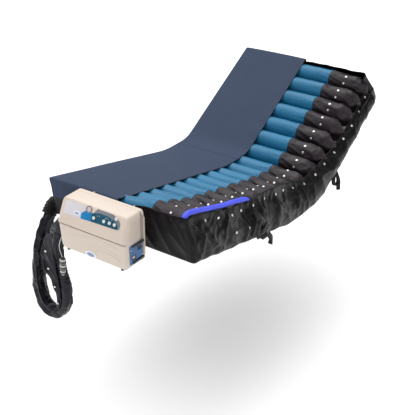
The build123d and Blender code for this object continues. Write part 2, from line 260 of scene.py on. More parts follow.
def frames_along(path):
    """Tangents and two steady cross directions at each point of a path."""
    path = np.asarray(path, float)
    tangent = np.gradient(path, axis=0)
    tangent /= np.linalg.norm(tangent, axis=1)[:, None]
    side = np.zeros_like(path)
    first = np.cross(tangent[0], (0, 0, 1.0))
    if np.linalg.norm(first) < 0.1:
        first = np.cross(tangent[0], (0, 1.0, 0))
    side[0] = first / np.linalg.norm(first)
    for i in range(1, len(path)):
        turned = side[i - 1] - tangent[i] * (side[i - 1] @ tangent[i])
        side[i] = turned / np.linalg.norm(turned)
    return tangent, side, np.cross(tangent, side)


def resample(path, count):
    path = np.asarray(path, float)
    along = np.concatenate([[0], np.cumsum(np.linalg.norm(np.diff(path, axis=0), axis=1))])
    at = np.linspace(0, along[-1], count)
    return np.stack([np.interp(at, along, path[:, k]) for k in range(3)], axis=1)


def smooth_path(points, count):
    """A rounded path near a few given points."""
    curve = bpy.data.curves.new("path", "CURVE")
    curve.dimensions = "3D"
    spline = curve.splines.new("NURBS")
    spline.points.add(len(points) - 1)
    for point, place in zip(spline.points, points):
        point.co = (*place, 1)
    spline.order_u = 3
    spline.use_endpoint_u = True
    spline.resolution_u = 24
    holder = bpy.data.objects.new("path", curve)
    mesh = bpy.data.meshes.new_from_object(holder)
    path = np.array([v.co for v in mesh.vertices], float)
    bpy.data.objects.remove(holder)
    bpy.data.curves.remove(curve)
    bpy.data.meshes.remove(mesh)
    return resample(path, count)


def tube(name, path, radii, material, around=16, caps=True):
    """A round tube along a path; radii is one number, one per point, or (width, height) pairs."""
    path = np.asarray(path, float)
    radii = np.broadcast_to(np.asarray(radii, float).reshape(-1, 1) if np.ndim(radii) < 2 else radii,
                            (len(path), 2))
    _, side, up = frames_along(path)
    turn = np.linspace(0, 2 * math.pi, around, endpoint=False)
    rings = (path[:, None] + side[:, None] * (np.cos(turn)[None, :, None] * radii[:, None, :1])
             + up[:, None] * (np.sin(turn)[None, :, None] * radii[:, None, 1:]))
    faces = grid_faces(len(path), around, closed=True)
    if caps:
        last = (len(path) - 1) * around
        faces += [tuple(range(around))[::-1], tuple(range(last, last + around))]
    return mesh_object(name, rings.reshape(-1, 3), faces, material)


def lathe(name, profile, place, axis, material, around=20):
    """A turned shape that stands at place along axis; profile is its (radius, height) pairs."""
    axis = Vector(axis).normalized()
    side = axis.orthogonal().normalized()
    up = axis.cross(side)
    points = []
    for radius, height in profile:
        for j in range(around):
            t = 2 * math.pi * j / around
            out = side * (radius * math.cos(t)) + up * (radius * math.sin(t))
            points.append(Vector(place) + axis * height + out)
    faces = grid_faces(len(profile), around, closed=True)
    faces.append(tuple(range((len(profile) - 1) * around, len(profile) * around)))
    faces.append(tuple(range(around))[::-1])
    return mesh_object(name, points, faces, material)


# ---- materials ----


def new_material(name):
    material = bpy.data.materials.new(name)
    material.use_nodes = True
    tree = material.node_tree
    return material, tree, tree.nodes["Principled BSDF"]


def node(tree, kind, **settings):
    made = tree.nodes.new(kind)
    for key, value in settings.items():
        if key in made.inputs:
            made.inputs[key].default_value = value
        else:
            setattr(made, key, value)
    return made


def colour_mix(tree, factor, first, second):
    mix = node(tree, "ShaderNodeMix", data_type="RGBA")
    tree.links.new(factor, mix.inputs[0])
    for socket, value in ((mix.inputs[6], first), (mix.inputs[7], second)):
        if hasattr(value, "is_linked"):
            tree.links.new(value, socket)
        else:
            socket.default_value = (*value, 1)
    return mix.outputs[2]


def spread(tree, value, low, high, to_low=0.0, to_high=1.0):
    ramp = node(tree, "ShaderNodeMapRange")
    tree.links.new(value, ramp.inputs[0])
    for i, number in enumerate((low, high, to_low, to_high), start=1):
        ramp.inputs[i].default_value = number
    return ramp.outputs[0]


def place_in(tree, scale=(1, 1, 1)):
    coords = node(tree, "ShaderNodeTexCoord")
    mapping = node(tree, "ShaderNodeMapping")
    mapping.inputs["Scale"].default_value = scale
    tree.links.new(coords.outputs["Object"], mapping.inputs["Vector"])
    return mapping.outputs["Vector"]


def noise(tree, vector, scale, detail=3.0, roughness=0.55, distortion=0.0):
    made = node(tree, "ShaderNodeTexNoise", Scale=scale, Detail=detail, Roughness=roughness,
                Distortion=distortion)
    tree.links.new(vector, made.inputs["Vector"])
    return made.outputs["Fac"]


def bumps(tree, shader, layers):
    """Stacked bumps; each layer is (height, strength, distance)."""
    normal = None
    for height, strength, distance in layers:
        made = node(tree, "ShaderNodeBump", Strength=strength, Distance=distance)
        tree.links.new(height, made.inputs["Height"])
        if normal is not None:
            tree.links.new(normal, made.inputs["Normal"])
        normal = made.outputs["Normal"]
    tree.links.new(normal, shader.inputs["Normal"])


def weave(tree, vector, threads):
    """Crossed threads, about that many to the metre."""
    bands = []
    for direction in ("X", "Y"):
        wave = node(tree, "ShaderNodeTexWave", wave_type="BANDS", bands_direction=direction)
        wave.inputs["Scale"].default_value = threads / 20
        wave.inputs["Distortion"].default_value = 0.6
        tree.links.new(vector, wave.inputs["Vector"])
        bands.append(wave.outputs["Fac"])
    mixed = node(tree, "ShaderNodeMath", operation="MULTIPLY")
    tree.links.new(bands[0], mixed.inputs[0])
    tree.links.new(bands[1], mixed.inputs[1])
    return mixed.outputs[0]


def cloth(name, dark, light, roughness=(0.5, 0.7), sheen=0.2, threads=900, wrinkle=0.3, wrinkle_size=14.0,
          stretch=(1, 1, 1), tint=(1, 1, 1), shine=0.3):
    """Woven cloth with uneven colour, a weave and soft creases."""
    material, tree, shader = new_material(name)
    vector = place_in(tree)
    mottle = noise(tree, vector, 5.0, 4.0)
    grain = noise(tree, vector, 260.0, 2.0)
    base = colour_mix(tree, spread(tree, mottle, 0.3, 0.7), dark, light)
    speck = spread(tree, grain, 0.35, 0.65, 0.0, 0.35)
    speck = colour_mix(tree, speck, base, tuple(c * 0.72 for c in dark))
    tree.links.new(speck, shader.inputs["Base Color"])
    tree.links.new(spread(tree, mottle, 0.3, 0.7, *roughness), shader.inputs["Roughness"])
    shader.inputs["Specular IOR Level"].default_value = shine
    shader.inputs["Sheen Weight"].default_value = sheen
    shader.inputs["Sheen Roughness"].default_value = 0.4
    shader.inputs["Sheen Tint"].default_value = (*tint, 1)
    creased = noise(tree, place_in(tree, stretch), wrinkle_size, 5.0, 0.6, 0.8)
    bumps(tree, shader, [(creased, wrinkle, 0.01), (weave(tree, vector, threads), 0.25, 0.0006)])
    return material


def plastic(name, colour, roughness=0.4, grain=900.0, depth=0.15, coat=0.0):
    """Moulded plastic with a fine spark-eroded grain and slight unevenness."""
    material, tree, shader = new_material(name)
    vector = place_in(tree)
    mottle = noise(tree, vector, 9.0, 3.0)
    tree.links.new(
        colour_mix(tree, spread(tree, mottle, 0.3, 0.7), tuple(c * 0.96 for c in colour), colour),
        shader.inputs["Base Color"],
    )
    uneven = spread(tree, mottle, 0.3, 0.7, roughness - 0.04, roughness + 0.05)
    tree.links.new(uneven, shader.inputs["Roughness"])
    shader.inputs["Coat Weight"].default_value = coat
    bumps(tree, shader, [(noise(tree, vector, grain, 2.0), depth, 0.0004), (mottle, 0.04, 0.002)])
    return material


def metal(name, colour, roughness=0.3, brushed=(1, 1, 60)):
    material, tree, shader = new_material(name)
    streaks = noise(tree, place_in(tree, brushed), 12.0, 4.0)
    tree.links.new(
        colour_mix(tree, streaks, tuple(c * 0.85 for c in colour), colour), shader.inputs["Base Color"]
    )
    shader.inputs["Metallic"].default_value = 1.0
    uneven = spread(tree, streaks, 0.3, 0.7, roughness - 0.06, roughness + 0.08)
    tree.links.new(uneven, shader.inputs["Roughness"])
    bumps(tree, shader, [(streaks, 0.05, 0.0005)])
    return material


def foam_material():
    material, tree, shader = new_material("foam_pores")
    vector = place_in(tree)
    pores = node(tree, "ShaderNodeTexVoronoi", Scale=420.0)
    tree.links.new(vector, pores.inputs["Vector"])
    # darker towards the middle of each pore, where the bump dips: painted shade in the pores
    shade = colour_mix(tree, pores.outputs["Distance"], (0.55, 0.52, 0.42), (0.72, 0.7, 0.6))
    tree.links.new(shade, shader.inputs["Base Color"])
    shader.inputs["Roughness"].default_value = 0.95
    bumps(tree, shader, [(pores.outputs["Distance"], 0.5, 0.001)])
    return material


def board_material():
    material, tree, shader = new_material("circuit_laminate")
    tracks = node(tree, "ShaderNodeTexBrick", Scale=90.0)
    tracks.inputs["Color1"].default_value = (0.02, 0.16, 0.07, 1)
    tracks.inputs["Color2"].default_value = (0.03, 0.2, 0.09, 1)
    tracks.inputs["Mortar"].default_value = (0.2, 0.32, 0.12, 1)
    tree.links.new(place_in(tree, (1, 1, 1)), tracks.inputs["Vector"])
    tree.links.new(tracks.outputs["Color"], shader.inputs["Base Color"])
    shader.inputs["Roughness"].default_value = 0.35
    return material


blue_cloth = cloth(
    "cell_microfibre", (0.010, 0.122, 0.240), (0.018, 0.168, 0.315), (0.34, 0.46), sheen=0.02, threads=1100,
    wrinkle=0.22, wrinkle_size=7.0, stretch=(0.35, 3.5, 3.5), tint=(0.6, 0.85, 1.0), shine=0.26,
)
dark_cloth = cloth(
    "cell_end_nylon", (0.017, 0.0125, 0.0155), (0.029, 0.0215, 0.0275), (0.40, 0.56), sheen=0.02, threads=800,
    wrinkle=0.40, wrinkle_size=15.0, stretch=(0.6, 1.4, 1.4), tint=(0.9, 0.85, 1.0), shine=0.26,
)
cover_cloth = cloth(
    "cover_stretch_knit", (0.040, 0.055, 0.094), (0.046, 0.063, 0.104), (0.68, 0.78), sheen=0.0, threads=1300,
    wrinkle=0.05, wrinkle_size=4.0, tint=(0.7, 0.8, 1.0), shine=0.08,
)
base_cloth = cloth(
    "base_nylon_weave", (0.0022, 0.0016, 0.0024), (0.0044, 0.0034, 0.0048), (0.26, 0.44), sheen=0.0,
    threads=800, wrinkle=0.36, wrinkle_size=12.0, tint=(0.8, 0.8, 1.0), shine=0.15,
)
hem_cloth = cloth(
    "hem_binding", (0.022, 0.030, 0.055), (0.030, 0.040, 0.070), (0.5, 0.65), sheen=0.06, threads=1300,
    wrinkle=0.1, wrinkle_size=30.0,
)
seam_thread = cloth(
    "seam_thread", (0.004, 0.014, 0.035), (0.007, 0.022, 0.05), (0.6, 0.7), sheen=0.02, threads=1500,
    wrinkle=0.3, wrinkle_size=60.0,
)
handle_cloth = cloth(
    "handle_padding", (0.062, 0.085, 0.72), (0.085, 0.120, 0.92), (0.45, 0.6), sheen=0.04, threads=900,
    wrinkle=0.2, wrinkle_size=22.0, tint=(0.7, 0.7, 1.0),
)
sleeve_cloth = cloth(
    "sleeve_nylon_twill", (0.0026, 0.0030, 0.0062), (0.0060, 0.0066, 0.0135), (0.21, 0.35), sheen=0.0,
    threads=900, wrinkle=0.55, wrinkle_size=15.0, tint=(0.7, 0.75, 1.0), shine=0.26,
)
webbing = cloth(
    "black_webbing", (0.0045, 0.0045, 0.005), (0.010, 0.010, 0.011), (0.5, 0.7), sheen=0.04, threads=500,
    wrinkle=0.1, wrinkle_size=30.0,
)
ivory = plastic("ivory_housing", (0.58, 0.495, 0.425), 0.40)
# painted shade: a darker copy of the ivory for the inside of the parting gap between the shells
ivory_painted_shade = plastic("ivory_recess_painted_shade", (0.34, 0.29, 0.25), 0.5)
label_print = plastic("label_film", (0.58, 0.56, 0.60), 0.35, 1500, 0.05)
badge_print = plastic("badge_film", (0.74, 0.76, 0.84), 0.3, 1500, 0.05)
badge_ink = plastic("badge_ink", (0.20, 0.27, 0.38), 0.35, 1500, 0.05)
blue_print = plastic("blue_film", (0.0, 0.17, 0.42), 0.25, 1500, 0.05)
teal_print = plastic("teal_film", (0.0, 0.062, 0.105), 0.25, 1500, 0.05)
grey_print = plastic("grey_film", (0.16, 0.17, 0.19), 0.35, 1500, 0.05)
lamp_glass = plastic("lamp_lens", (0.52, 0.44, 0.48), 0.15, 1500, 0.02, 0.5)
button_white = plastic("button_white", (0.60, 0.62, 0.63), 0.35)
plate_blue = plastic("plate_blue", (0.002, 0.085, 0.25), 0.3)
black_plastic = plastic("black_plastic", (0.012, 0.012, 0.013), 0.42)
grey_plastic = plastic("grey_plastic", (0.12, 0.125, 0.12), 0.38)
silver_plastic = plastic("silver_plastic", (0.50, 0.50, 0.47), 0.30)
rubber = plastic("foot_rubber", (0.014, 0.014, 0.014), 0.7, 500.0, 0.4)
tubing = plastic("air_tubing", (0.62, 0.66, 0.66), 0.2, 600.0, 0.05, 0.3)
snap_metal = metal("snap_enamel", (0.74, 0.72, 0.68), 0.34, (1, 1, 1))
steel = metal("bright_steel", (0.6, 0.6, 0.6), 0.25)
cast_metal = metal("compressor_casting", (0.42, 0.43, 0.45), 0.5, (20, 20, 20))
foam_pores = foam_material()
laminate = board_material()

# ---- hose bundle in its sleeve ----

SLEEVE_ROUTE = [
    (-0.235, -1.219, 0.282),
    (-0.300, -1.219, 0.262),
    (-0.338, -1.217, 0.180),
    (-0.354, -1.213, 0.080),
    (-0.346, -1.209, -0.030),
    (-0.324, -1.209, -0.150),
    (-0.330, -1.209, -0.272),
    (-0.398, -1.209, -0.357),
    (-0.484, -1.208, -0.336),
    (-0.528, -1.204, -0.226),
    (-0.530, -1.196, -0.104),
    (-0.524, -1.182, 0.015),
    (-0.514, -1.150, 0.115),
    (-0.505, -1.100, 0.200),
]


def make_sleeve():
    """The quilted sleeve, a slack tube, in two limbs that meet at the bottom of its loop."""
    path = smooth_path(SLEEVE_ROUTE, 280)
    tangent, side, up = frames_along(path)
    around = 80
    turn = np.linspace(0, 2 * math.pi, around, endpoint=False)
    ring = np.stack([np.cos(turn), np.sin(turn)], axis=1)
    along = np.linspace(0, 1, len(path))[:, None]
    length = 1.35
    shape = (len(path), around)
    cylinder = np.stack([np.broadcast_to(ring[None, :, 0], shape), np.broadcast_to(ring[None, :, 1], shape),
                         np.broadcast_to(along * length, shape)], axis=-1)
    folds = (creases(cylinder * (1, 1, 2.4), 1.7, 5) - 0.5) * 0.011
    folds = folds + (creases(cylinder * (1, 1, 9.0), 1.5, 8) - 0.5) * 0.005
    fine = waves(cylinder * (1, 1, 14), 0.7, 11) * 0.0007
    radius = 0.0375 + folds + fine
    radius = radius - 0.008 * bump(along, 0.0, 0.03) - 0.006 * bump(along, 1.0, 0.03)
    # quilting lines every few centimetres
    radius = radius - 0.0020 * np.abs(np.cos(math.pi * along * length / 0.060)) ** 14
    points = (path[:, None] + side[:, None] * (ring[None, :, :1] * radius[..., None])
              + up[:, None] * (ring[None, :, 1:] * radius[..., None]))
    lowest = int(np.argmin(path[:, 2]))
    unit_limb = grid_object("hose_sleeve_unit_limb", points[: lowest + 1], sleeve_cloth, closed=True)
    bed_limb = grid_object("hose_sleeve_bed_limb", points[lowest:], sleeve_cloth, closed=True)
    return unit_limb, bed_limb, path, lowest


def sleeve_flap(path):
    """The loose edge of the sleeve's seam, with its press snaps, on the limb under the control unit."""
    reach = path[26:150]
    count = len(reach)
    out = np.array([-0.86, -0.50, 0.0])
    out /= np.linalg.norm(out)
    front = np.array([0.30, -0.95, 0.05])
    front /= np.linalg.norm(front)
    t = np.linspace(0, 1, count)[:, None]
    across = np.linspace(0, 1, 18)[None, :]
    width = 0.022 + 0.050 * np.exp(-(((t - 0.30) / 0.26) ** 2))
    grid = np.stack(np.broadcast_arrays(t * 0.6, across * 0.06), axis=-1)
    ripple = waves(grid, 0.12, 21) * 0.006 * across + (creases(grid * (1, 3), 0.14, 22) - 0.5) * 0.006
    points = (reach[:, None] + out * (0.010 + width * across)[..., None]
              + front * (0.040 - 0.016 * across**2 + ripple)[..., None])
    flap = grid_object("sleeve_seam_flap", points, sleeve_cloth)
    add_thickness(flap, 0.0045, 0)
    binding = tube("sleeve_flap_binding", points[:, -1], 0.0032, sleeve_cloth, 10)
    studs = []
    for share in (0.22, 0.40, 0.58, 0.76):
        i = int(share * (count - 1))
        place = points[i, 11] + front * 0.0035
        studs.append(snap_stud(f"stud_{i}", place, front, 0.0062))
    return joined("sleeve_seam_flap", [flap, binding]), joined("sleeve_snaps", studs)


def snap_stud(name, place, axis, radius):
    """A pressed ring with a domed middle."""
    rim = [(1, -0.0015), (1, 0.0004), (0.93, 0.0011), (0.78, 0.0012), (0.66, 0.0006)]
    dome = [(0.58, 0.0007), (0.42, 0.0016), (0.2, 0.0021), (0.04, 0.0022)]
    profile = [(radius * share, height) for share, height in rim + dome]
    return lathe(name, profile, place, axis, snap_metal, 18)


def make_coupling():
    """Ribbed quick coupling: light rings with dark grooves, hanging by a thin cord beside the sleeve."""
    top = Vector((-0.283, -1.250, 0.066))
    down = Vector((-0.08, 0, -1)).normalized()
    core = [(0.0040, -0.005), (0.0105, -0.003), (0.0120, 0.0), (0.0120, 0.096), (0.0105, 0.100),
            (0.0050, 0.101)]
    parts = [lathe("core", core, top, down, black_plastic, 28)]
    for i in range(5):
        at = 0.007 + 0.018 * i
        r = 0.0175 if i < 4 else 0.0150
        ring = [(0.0118, at), (r - 0.0016, at + 0.0004), (r, at + 0.0022), (r, at + 0.0088),
                (r - 0.0016, at + 0.0106), (0.0118, at + 0.0110)]
        parts.append(lathe("ring", ring, top, down, grey_plastic if i % 2 else silver_plastic, 32))
    tail = lathe("tail", [(0.0085, 0.100), (0.0085, 0.106), (0.0070, 0.108), (0.0045, 0.110)], top, down,
                 silver_plastic, 24)
    return joined("hose_coupling_ribbed", parts + [tail])


unit_limb, bed_limb, sleeve_path, sleeve_lowest = make_sleeve()
flap_on_sleeve, sleeve_snaps = sleeve_flap(sleeve_path)
coupling = make_coupling()
STRING_ROUTE = [
    (-0.270, -1.258, 0.200),
    (-0.286, -1.264, 0.160),
    (-0.292, -1.262, 0.120),
    (-0.283, -1.252, 0.070),
]
string = tube("coupling_cord", smooth_path(STRING_ROUTE, 30), 0.0016, tubing, 10)

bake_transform(bed_limb)
for piece in (unit_limb, flap_on_sleeve, sleeve_snaps, coupling, string):
    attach(piece, "seat_section")
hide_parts("hose_sleeve")
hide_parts("hose_sleeve")
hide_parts("hose_coupling")


# ---- air cells ----

AROUND = 64
END_FROM = 0.10          # the plain middle of a cell reaches this far either side
END_AT = 0.446
DROOP_FROM = 0.350
RINGS = 58


def cell_section():
    """Outline of a cell across the bed's length: flat floor, straight sides and a round crown."""
    w, low = CELL_HALF, CELL_FLOOR
    mid = CELL_TOP - w
    corner = 0.024
    outline = [(w * math.cos(t), mid + w * math.sin(t)) for t in np.linspace(0, math.pi, 40)]
    outline += [(-w, v) for v in np.linspace(mid, low + corner, 14)[1:]]
    outline += [(-w + corner - corner * math.cos(t), low + corner - corner * math.sin(t))
                for t in np.linspace(0, math.pi / 2, 8)[1:]]
    outline += [(y, low) for y in np.linspace(-w + corner, w - corner, 16)[1:]]
    outline += [(w - corner + corner * math.sin(t), low + corner - corner * math.cos(t))
                for t in np.linspace(0, math.pi / 2, 8)[1:]]
    outline += [(w, v) for v in np.linspace(low + corner, mid, 14)[1:-1]]
    closed = np.array(outline + [outline[0]])
    along = np.concatenate([[0], np.cumsum(np.linalg.norm(np.diff(closed, axis=0), axis=1))])
    at = np.linspace(0, along[-1], AROUND, endpoint=False)
    return np.stack([np.interp(at, along, closed[:, k]) for k in (0, 1)], axis=1)


SECTION = cell_section()
SECTION_MIDDLE_V = 0.135


def cell_end(seed):
    """One end of a cell before inflation: rings from the plain middle to the flat seam that closes it."""
    rng = np.random.default_rng(seed)
    x = np.linspace(END_FROM, END_AT, RINGS)
    share = np.clip((x - DROOP_FROM) / (END_AT - DROOP_FROM), 0, 1)[:, None]
    droop = rng.uniform(0.012, 0.026)
    wide = 1 - 0.95 * share**4.0
    tall = 1 - 0.34 * share**3.2
    y = SECTION[None, :, 0] * wide
    v = CELL_FLOOR + 0.004 * share + (SECTION[None, :, 1] - CELL_FLOOR) * tall
    v = v - droop * share**1.5 * np.clip((v - CELL_FLOOR) / 0.13, 0, 1)
    skew = rng.uniform(-0.012, 0.012)
    y = y + skew * share * np.clip((v - CELL_FLOOR) / 0.13, 0, 1)
    points = np.stack([np.broadcast_to(x[:, None], y.shape), y, v], axis=-1)
    lumps = waves(points, 0.09, seed) * 0.0028 * (0.3 + share)
    middle = np.array([0, 0, SECTION_MIDDLE_V])
    outward = (points - middle) * (0, 1, 1)
    outward /= np.maximum(np.linalg.norm(outward, axis=-1, keepdims=True), 1e-6)
    return points + outward * lumps[..., None]


def settle(ends, frames=20, cap=0.013):
    """Inflates the loose cloth of the cell ends and lets it crease between its seams, in one simulation."""
    scene = bpy.context.scene
    rings, columns = ends[0].shape[:2]
    gap = 0.4
    stacked, faces = [], []
    for k, end in enumerate(ends):
        faces += grid_faces(rings, columns, closed=True, start=k * rings * columns)
        stacked.append(end.reshape(-1, 3) + (0, gap * k, 0))
    start = np.concatenate(stacked)
    piece = mesh_object("cell_ends_sim", start, faces, blue_cloth)
    x = ends[0][:, 0, 0]
    held = np.clip(1 - (x - END_FROM) / 0.03, 0, 1)
    held = np.maximum(held, 0.9 * bump(x, BORDER_X, 0.005))
    held[-1] = 1.0
    floor = (start[:, 2] < CELL_FLOOR + 0.01).astype(float)
    pin = np.maximum(np.tile(np.repeat(held, columns), len(ends)), 0.85 * floor)
    loose = np.tile(np.repeat(smooth((x - 0.27) / 0.14), columns), len(ends))
    for name, weights in (("pin", pin), ("loose", loose)):
        group = piece.vertex_groups.new(name=name)
        for i, weight in enumerate(weights):
            if weight > 0.01:
                group.add([i], float(weight), "REPLACE")
    modifier = piece.modifiers.new("cloth", "CLOTH")
    modifier.settings.quality = 6
    modifier.settings.mass = 0.25
    modifier.settings.tension_stiffness = 25
    modifier.settings.compression_stiffness = 25
    modifier.settings.shear_stiffness = 8
    modifier.settings.bending_stiffness = 0.15
    modifier.settings.use_pressure = True
    modifier.settings.uniform_pressure_force = 3.5
    modifier.settings.vertex_group_mass = "pin"
    modifier.settings.pin_stiffness = 2.0
    modifier.settings.vertex_group_shrink = "loose"
    modifier.settings.shrink_min = 0.0
    modifier.settings.shrink_max = -0.22
    modifier.settings.effector_weights.gravity = 0.25
    modifier.collision_settings.use_collision = False
    modifier.point_cache.frame_start = 1
    modifier.point_cache.frame_end = frames
    for f in range(1, frames + 1):
        scene.frame_set(f)
    done = piece.evaluated_get(bpy.context.evaluated_depsgraph_get())
    now = np.array([v.co for v in done.data.vertices], float)
    scene.frame_set(1)
    mesh = piece.data
    bpy.data.objects.remove(piece)
    bpy.data.meshes.remove(mesh)
    move = now - start
    size = np.linalg.norm(move, axis=1, keepdims=True)
    now = start + move * (cap * np.tanh(size / cap) / np.maximum(size, 1e-9))
    parts = np.split(now, len(ends))
    return [part.reshape(rings, columns, 3) - (0, gap * k, 0) for k, part in enumerate(parts)]


def finished_end(points, seed):
    """Seam groove, puckers and small creases over an inflated end, kept clear of its neighbours."""
    x = points[..., 0]
    middle = np.array([0, 0, SECTION_MIDDLE_V])
    outward = (points - middle) * (0, 1, 1)
    outward /= np.maximum(np.linalg.norm(outward, axis=-1, keepdims=True), 1e-6)
    ring = np.stack(np.broadcast_arrays(np.arange(AROUND)[None, :] * 0.0065, x * 0.4), axis=-1)
    beside_seam = bump(x, BORDER_X - 0.012, 0.016) + bump(x, BORDER_X + 0.014, 0.018)
    pucker = waves(ring, 0.022, seed + 40) * beside_seam
    share = smooth((x - 0.30) / 0.12)
    crease = (creases(points * (0.6, 1, 1), 0.055, seed + 60) - 0.5) * 0.0085 * share
    seam = -0.0034 * bump(x, BORDER_X, 0.0035) + 0.0012 * smooth((x - BORDER_X) / 0.02)
    out = crease + pucker * 0.0009 + seam
    points = points + outward * out[..., None]
    limit = CELL_HALF + 0.0002
    over = np.abs(points[..., 1]) > limit * 0.9
    squeezed = limit * (0.9 + 0.1 * np.tanh((np.abs(points[..., 1]) / limit - 0.9) / 0.1))
    points[..., 1] = np.where(over, np.sign(points[..., 1]) * squeezed, points[..., 1])
    points[..., 2] = np.maximum(points[..., 2], CELL_FLOOR)
    return points


END_KINDS = 5
ends = [cell_end(seed) for seed in range(1, END_KINDS + 1)]
ends = settle(ends)
ends = [finished_end(end, seed) for seed, end in enumerate(ends)]


def make_cell(number, s):
    right = ends[(number * 2) % END_KINDS].copy()
    left = ends[(number * 3 + 1) % END_KINDS].copy() * (-1, 1, 1)
    if number % 2:
        right = right[:, AROUND_MIRROR] * (1, -1, 1)
    rings_x = np.linspace(-END_FROM, END_FROM, 10)[1:-1]
    plain = np.stack([np.broadcast_to(rings_x[:, None], (8, AROUND)),
                      np.broadcast_to(SECTION[None, :, 0], (8, AROUND)),
                      np.broadcast_to(SECTION[None, :, 1], (8, AROUND))], axis=-1)
    points = np.concatenate([left[::-1], plain, right])
    x = points[..., 0]
    height = np.clip((points[..., 2] - CELL_FLOOR) / (CELL_TOP - CELL_FLOOR), 0, 1)
    rise = FOOT_RISE.get(number, 0.0) * smooth((x + 0.05) / 0.3) + crown(x, s)
    uneven = waves(points * (1, 0.6, 0.6) + (0, number, 0), 0.5, number)
    points[..., 2] += rise * height + uneven * 0.0012 * height
    # long shallow creases where the cloth of the level cells lies slack along the bed's width
    slack = smooth((0.25 - s) / 0.25) * np.clip(height * 1.6 - 0.6, 0, 1)
    long_folds = creases(points * (0.12, 1, 1) + (0, number * 3, 0), 0.045, number + 70) - 0.5
    points[..., 2] += long_folds * 0.0022 * slack
    placed = bent_rigid(points, s)
    middles = np.abs((placed[:-1, :, 0] + placed[1:, :, 0]) / 2)
    faces = grid_faces(len(placed), AROUND, closed=True)
    last = (len(placed) - 1) * AROUND
    caps = [tuple(range(AROUND))[::-1], tuple(range(last, last + AROUND))]
    cloths = [blue_cloth, dark_cloth, seam_thread]
    cell = mesh_object(f"cell_{number:02d}", placed.reshape(-1, 3), faces + caps, cloths)
    index = np.where(middles.ravel() > BORDER_X, 1, 0)
    index = np.where(np.abs(middles.ravel() - BORDER_X) < 0.0032, 2, index)
    cell.data.polygons.foreach_set("material_index", list(index) + [1, 1])
    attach(cell, body_at(s))
    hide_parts(f"air_cell_{number:02d}")
    return placed


def bent_rigid(points, s):
    """A cell's own points set at s along the bed, turned with its section as one piece."""
    tilt = BACK_TILT if s > SEAT_HALF else -LEG_TILT if s < -SEAT_HALF else 0.0
    fold_y = SEAT_HALF if s > SEAT_HALF else -SEAT_HALF if s < -SEAT_HALF else 0.0
    u = leaned(points[..., 1] + s, points[..., 2]) - fold_y
    rise = points[..., 2] - FOLD_V
    c, sn = math.cos(tilt), math.sin(tilt)
    return np.stack([points[..., 0], fold_y + u * c - rise * sn, FOLD_V + u * sn + rise * c], axis=-1)


AROUND_MIRROR = [int(np.argmin(np.linalg.norm(SECTION * (-1, 1) - p, axis=1))) for p in SECTION]
FOOT_RISE = {16: 0.004, 17: 0.018, 18: 0.034}
cell_points = {}
for number, s in enumerate(cell_middles(), start=1):
    cell_points[number] = make_cell(number, s)


def on_cell(number, x, angle):
    """The place and outward direction on a cell's crown, angle in degrees from its top towards the head."""
    grid = cell_points[number]
    ring = int(np.argmin(np.abs(grid[:, 0, 0] - x)))
    turn = math.radians(angle)
    target = (CELL_HALF * math.sin(turn), CELL_TOP - CELL_HALF * (1 - math.cos(turn)))
    column = int(np.argmin(np.linalg.norm(SECTION - target, axis=1)))
    place = grid[ring, column]
    a = grid[ring, (column + 2) % AROUND] - grid[ring, column - 2]
    b = grid[ring + 1, column] - grid[ring - 1, column]
    out = np.cross(a, b)
    out /= np.linalg.norm(out)
    if out[2] < 0:
        out = -out
    return place, out


def make_cell_snaps():
    groups = {"back_section": [], "seat_section": [], "leg_section": []}
    for number, s in enumerate(cell_middles(), start=1):
        for x in (-SNAP_X, SNAP_X):
            for angle in (3, -42):
                place, out = on_cell(number, x, angle)
                sink = 0.001 if x > 0 else -0.001
                size = 0.0060 if s < -SEAT_HALF else 0.0072
                groups[body_at(s)].append(snap_stud("stud", place + out * sink, out, size))
    for body, studs in groups.items():
        section = body.split("_")[0]
        piece = joined(f"snaps_{section}", studs)
        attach(piece, body)
        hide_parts(f"cell_snaps_{section}")


make_cell_snaps()

# ---- fabric that runs the whole length, in two pieces that meet at the seat's middle ----


def cross_folds(head_piece, foot_piece):
    """Bakes the placement of the head piece and the foot piece into their meshes."""
    for piece, section, side in ((head_piece, "back_section", 1), (foot_piece, "leg_section", -1)):
        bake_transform(piece)


# ---- top cover, on the left half ----

SHEET_LEFT, SHEET_RIGHT = -0.463, -0.010
SHEET_DROP = 0.112
SHEET_EDGE = 0.014
SHEET_SWING = 0.020


def sheet_height(x, s):
    """The cover lies on the crowns and sinks very slightly between them."""
    sag = 0.0
    for middle in cell_middles():
        sag = sag + bump(s, middle + PITCH / 2, 0.03)
    near_edge = smooth((x - SHEET_RIGHT + 0.16) / 0.16)
    place = np.stack(np.broadcast_arrays(x, s), axis=-1)
    return COVER_V + crown(x, s) - 0.0014 * np.minimum(sag, 1) * near_edge + waves(place, 0.6, 3) * 0.0006


def sheet_x(x, s):
    """Places across the cover, whose free edge runs out a little towards the foot."""
    share = (x - SHEET_LEFT) / (SHEET_RIGHT - SHEET_LEFT)
    return x + SHEET_SWING * smooth((-s - 0.30) / 0.80) * share


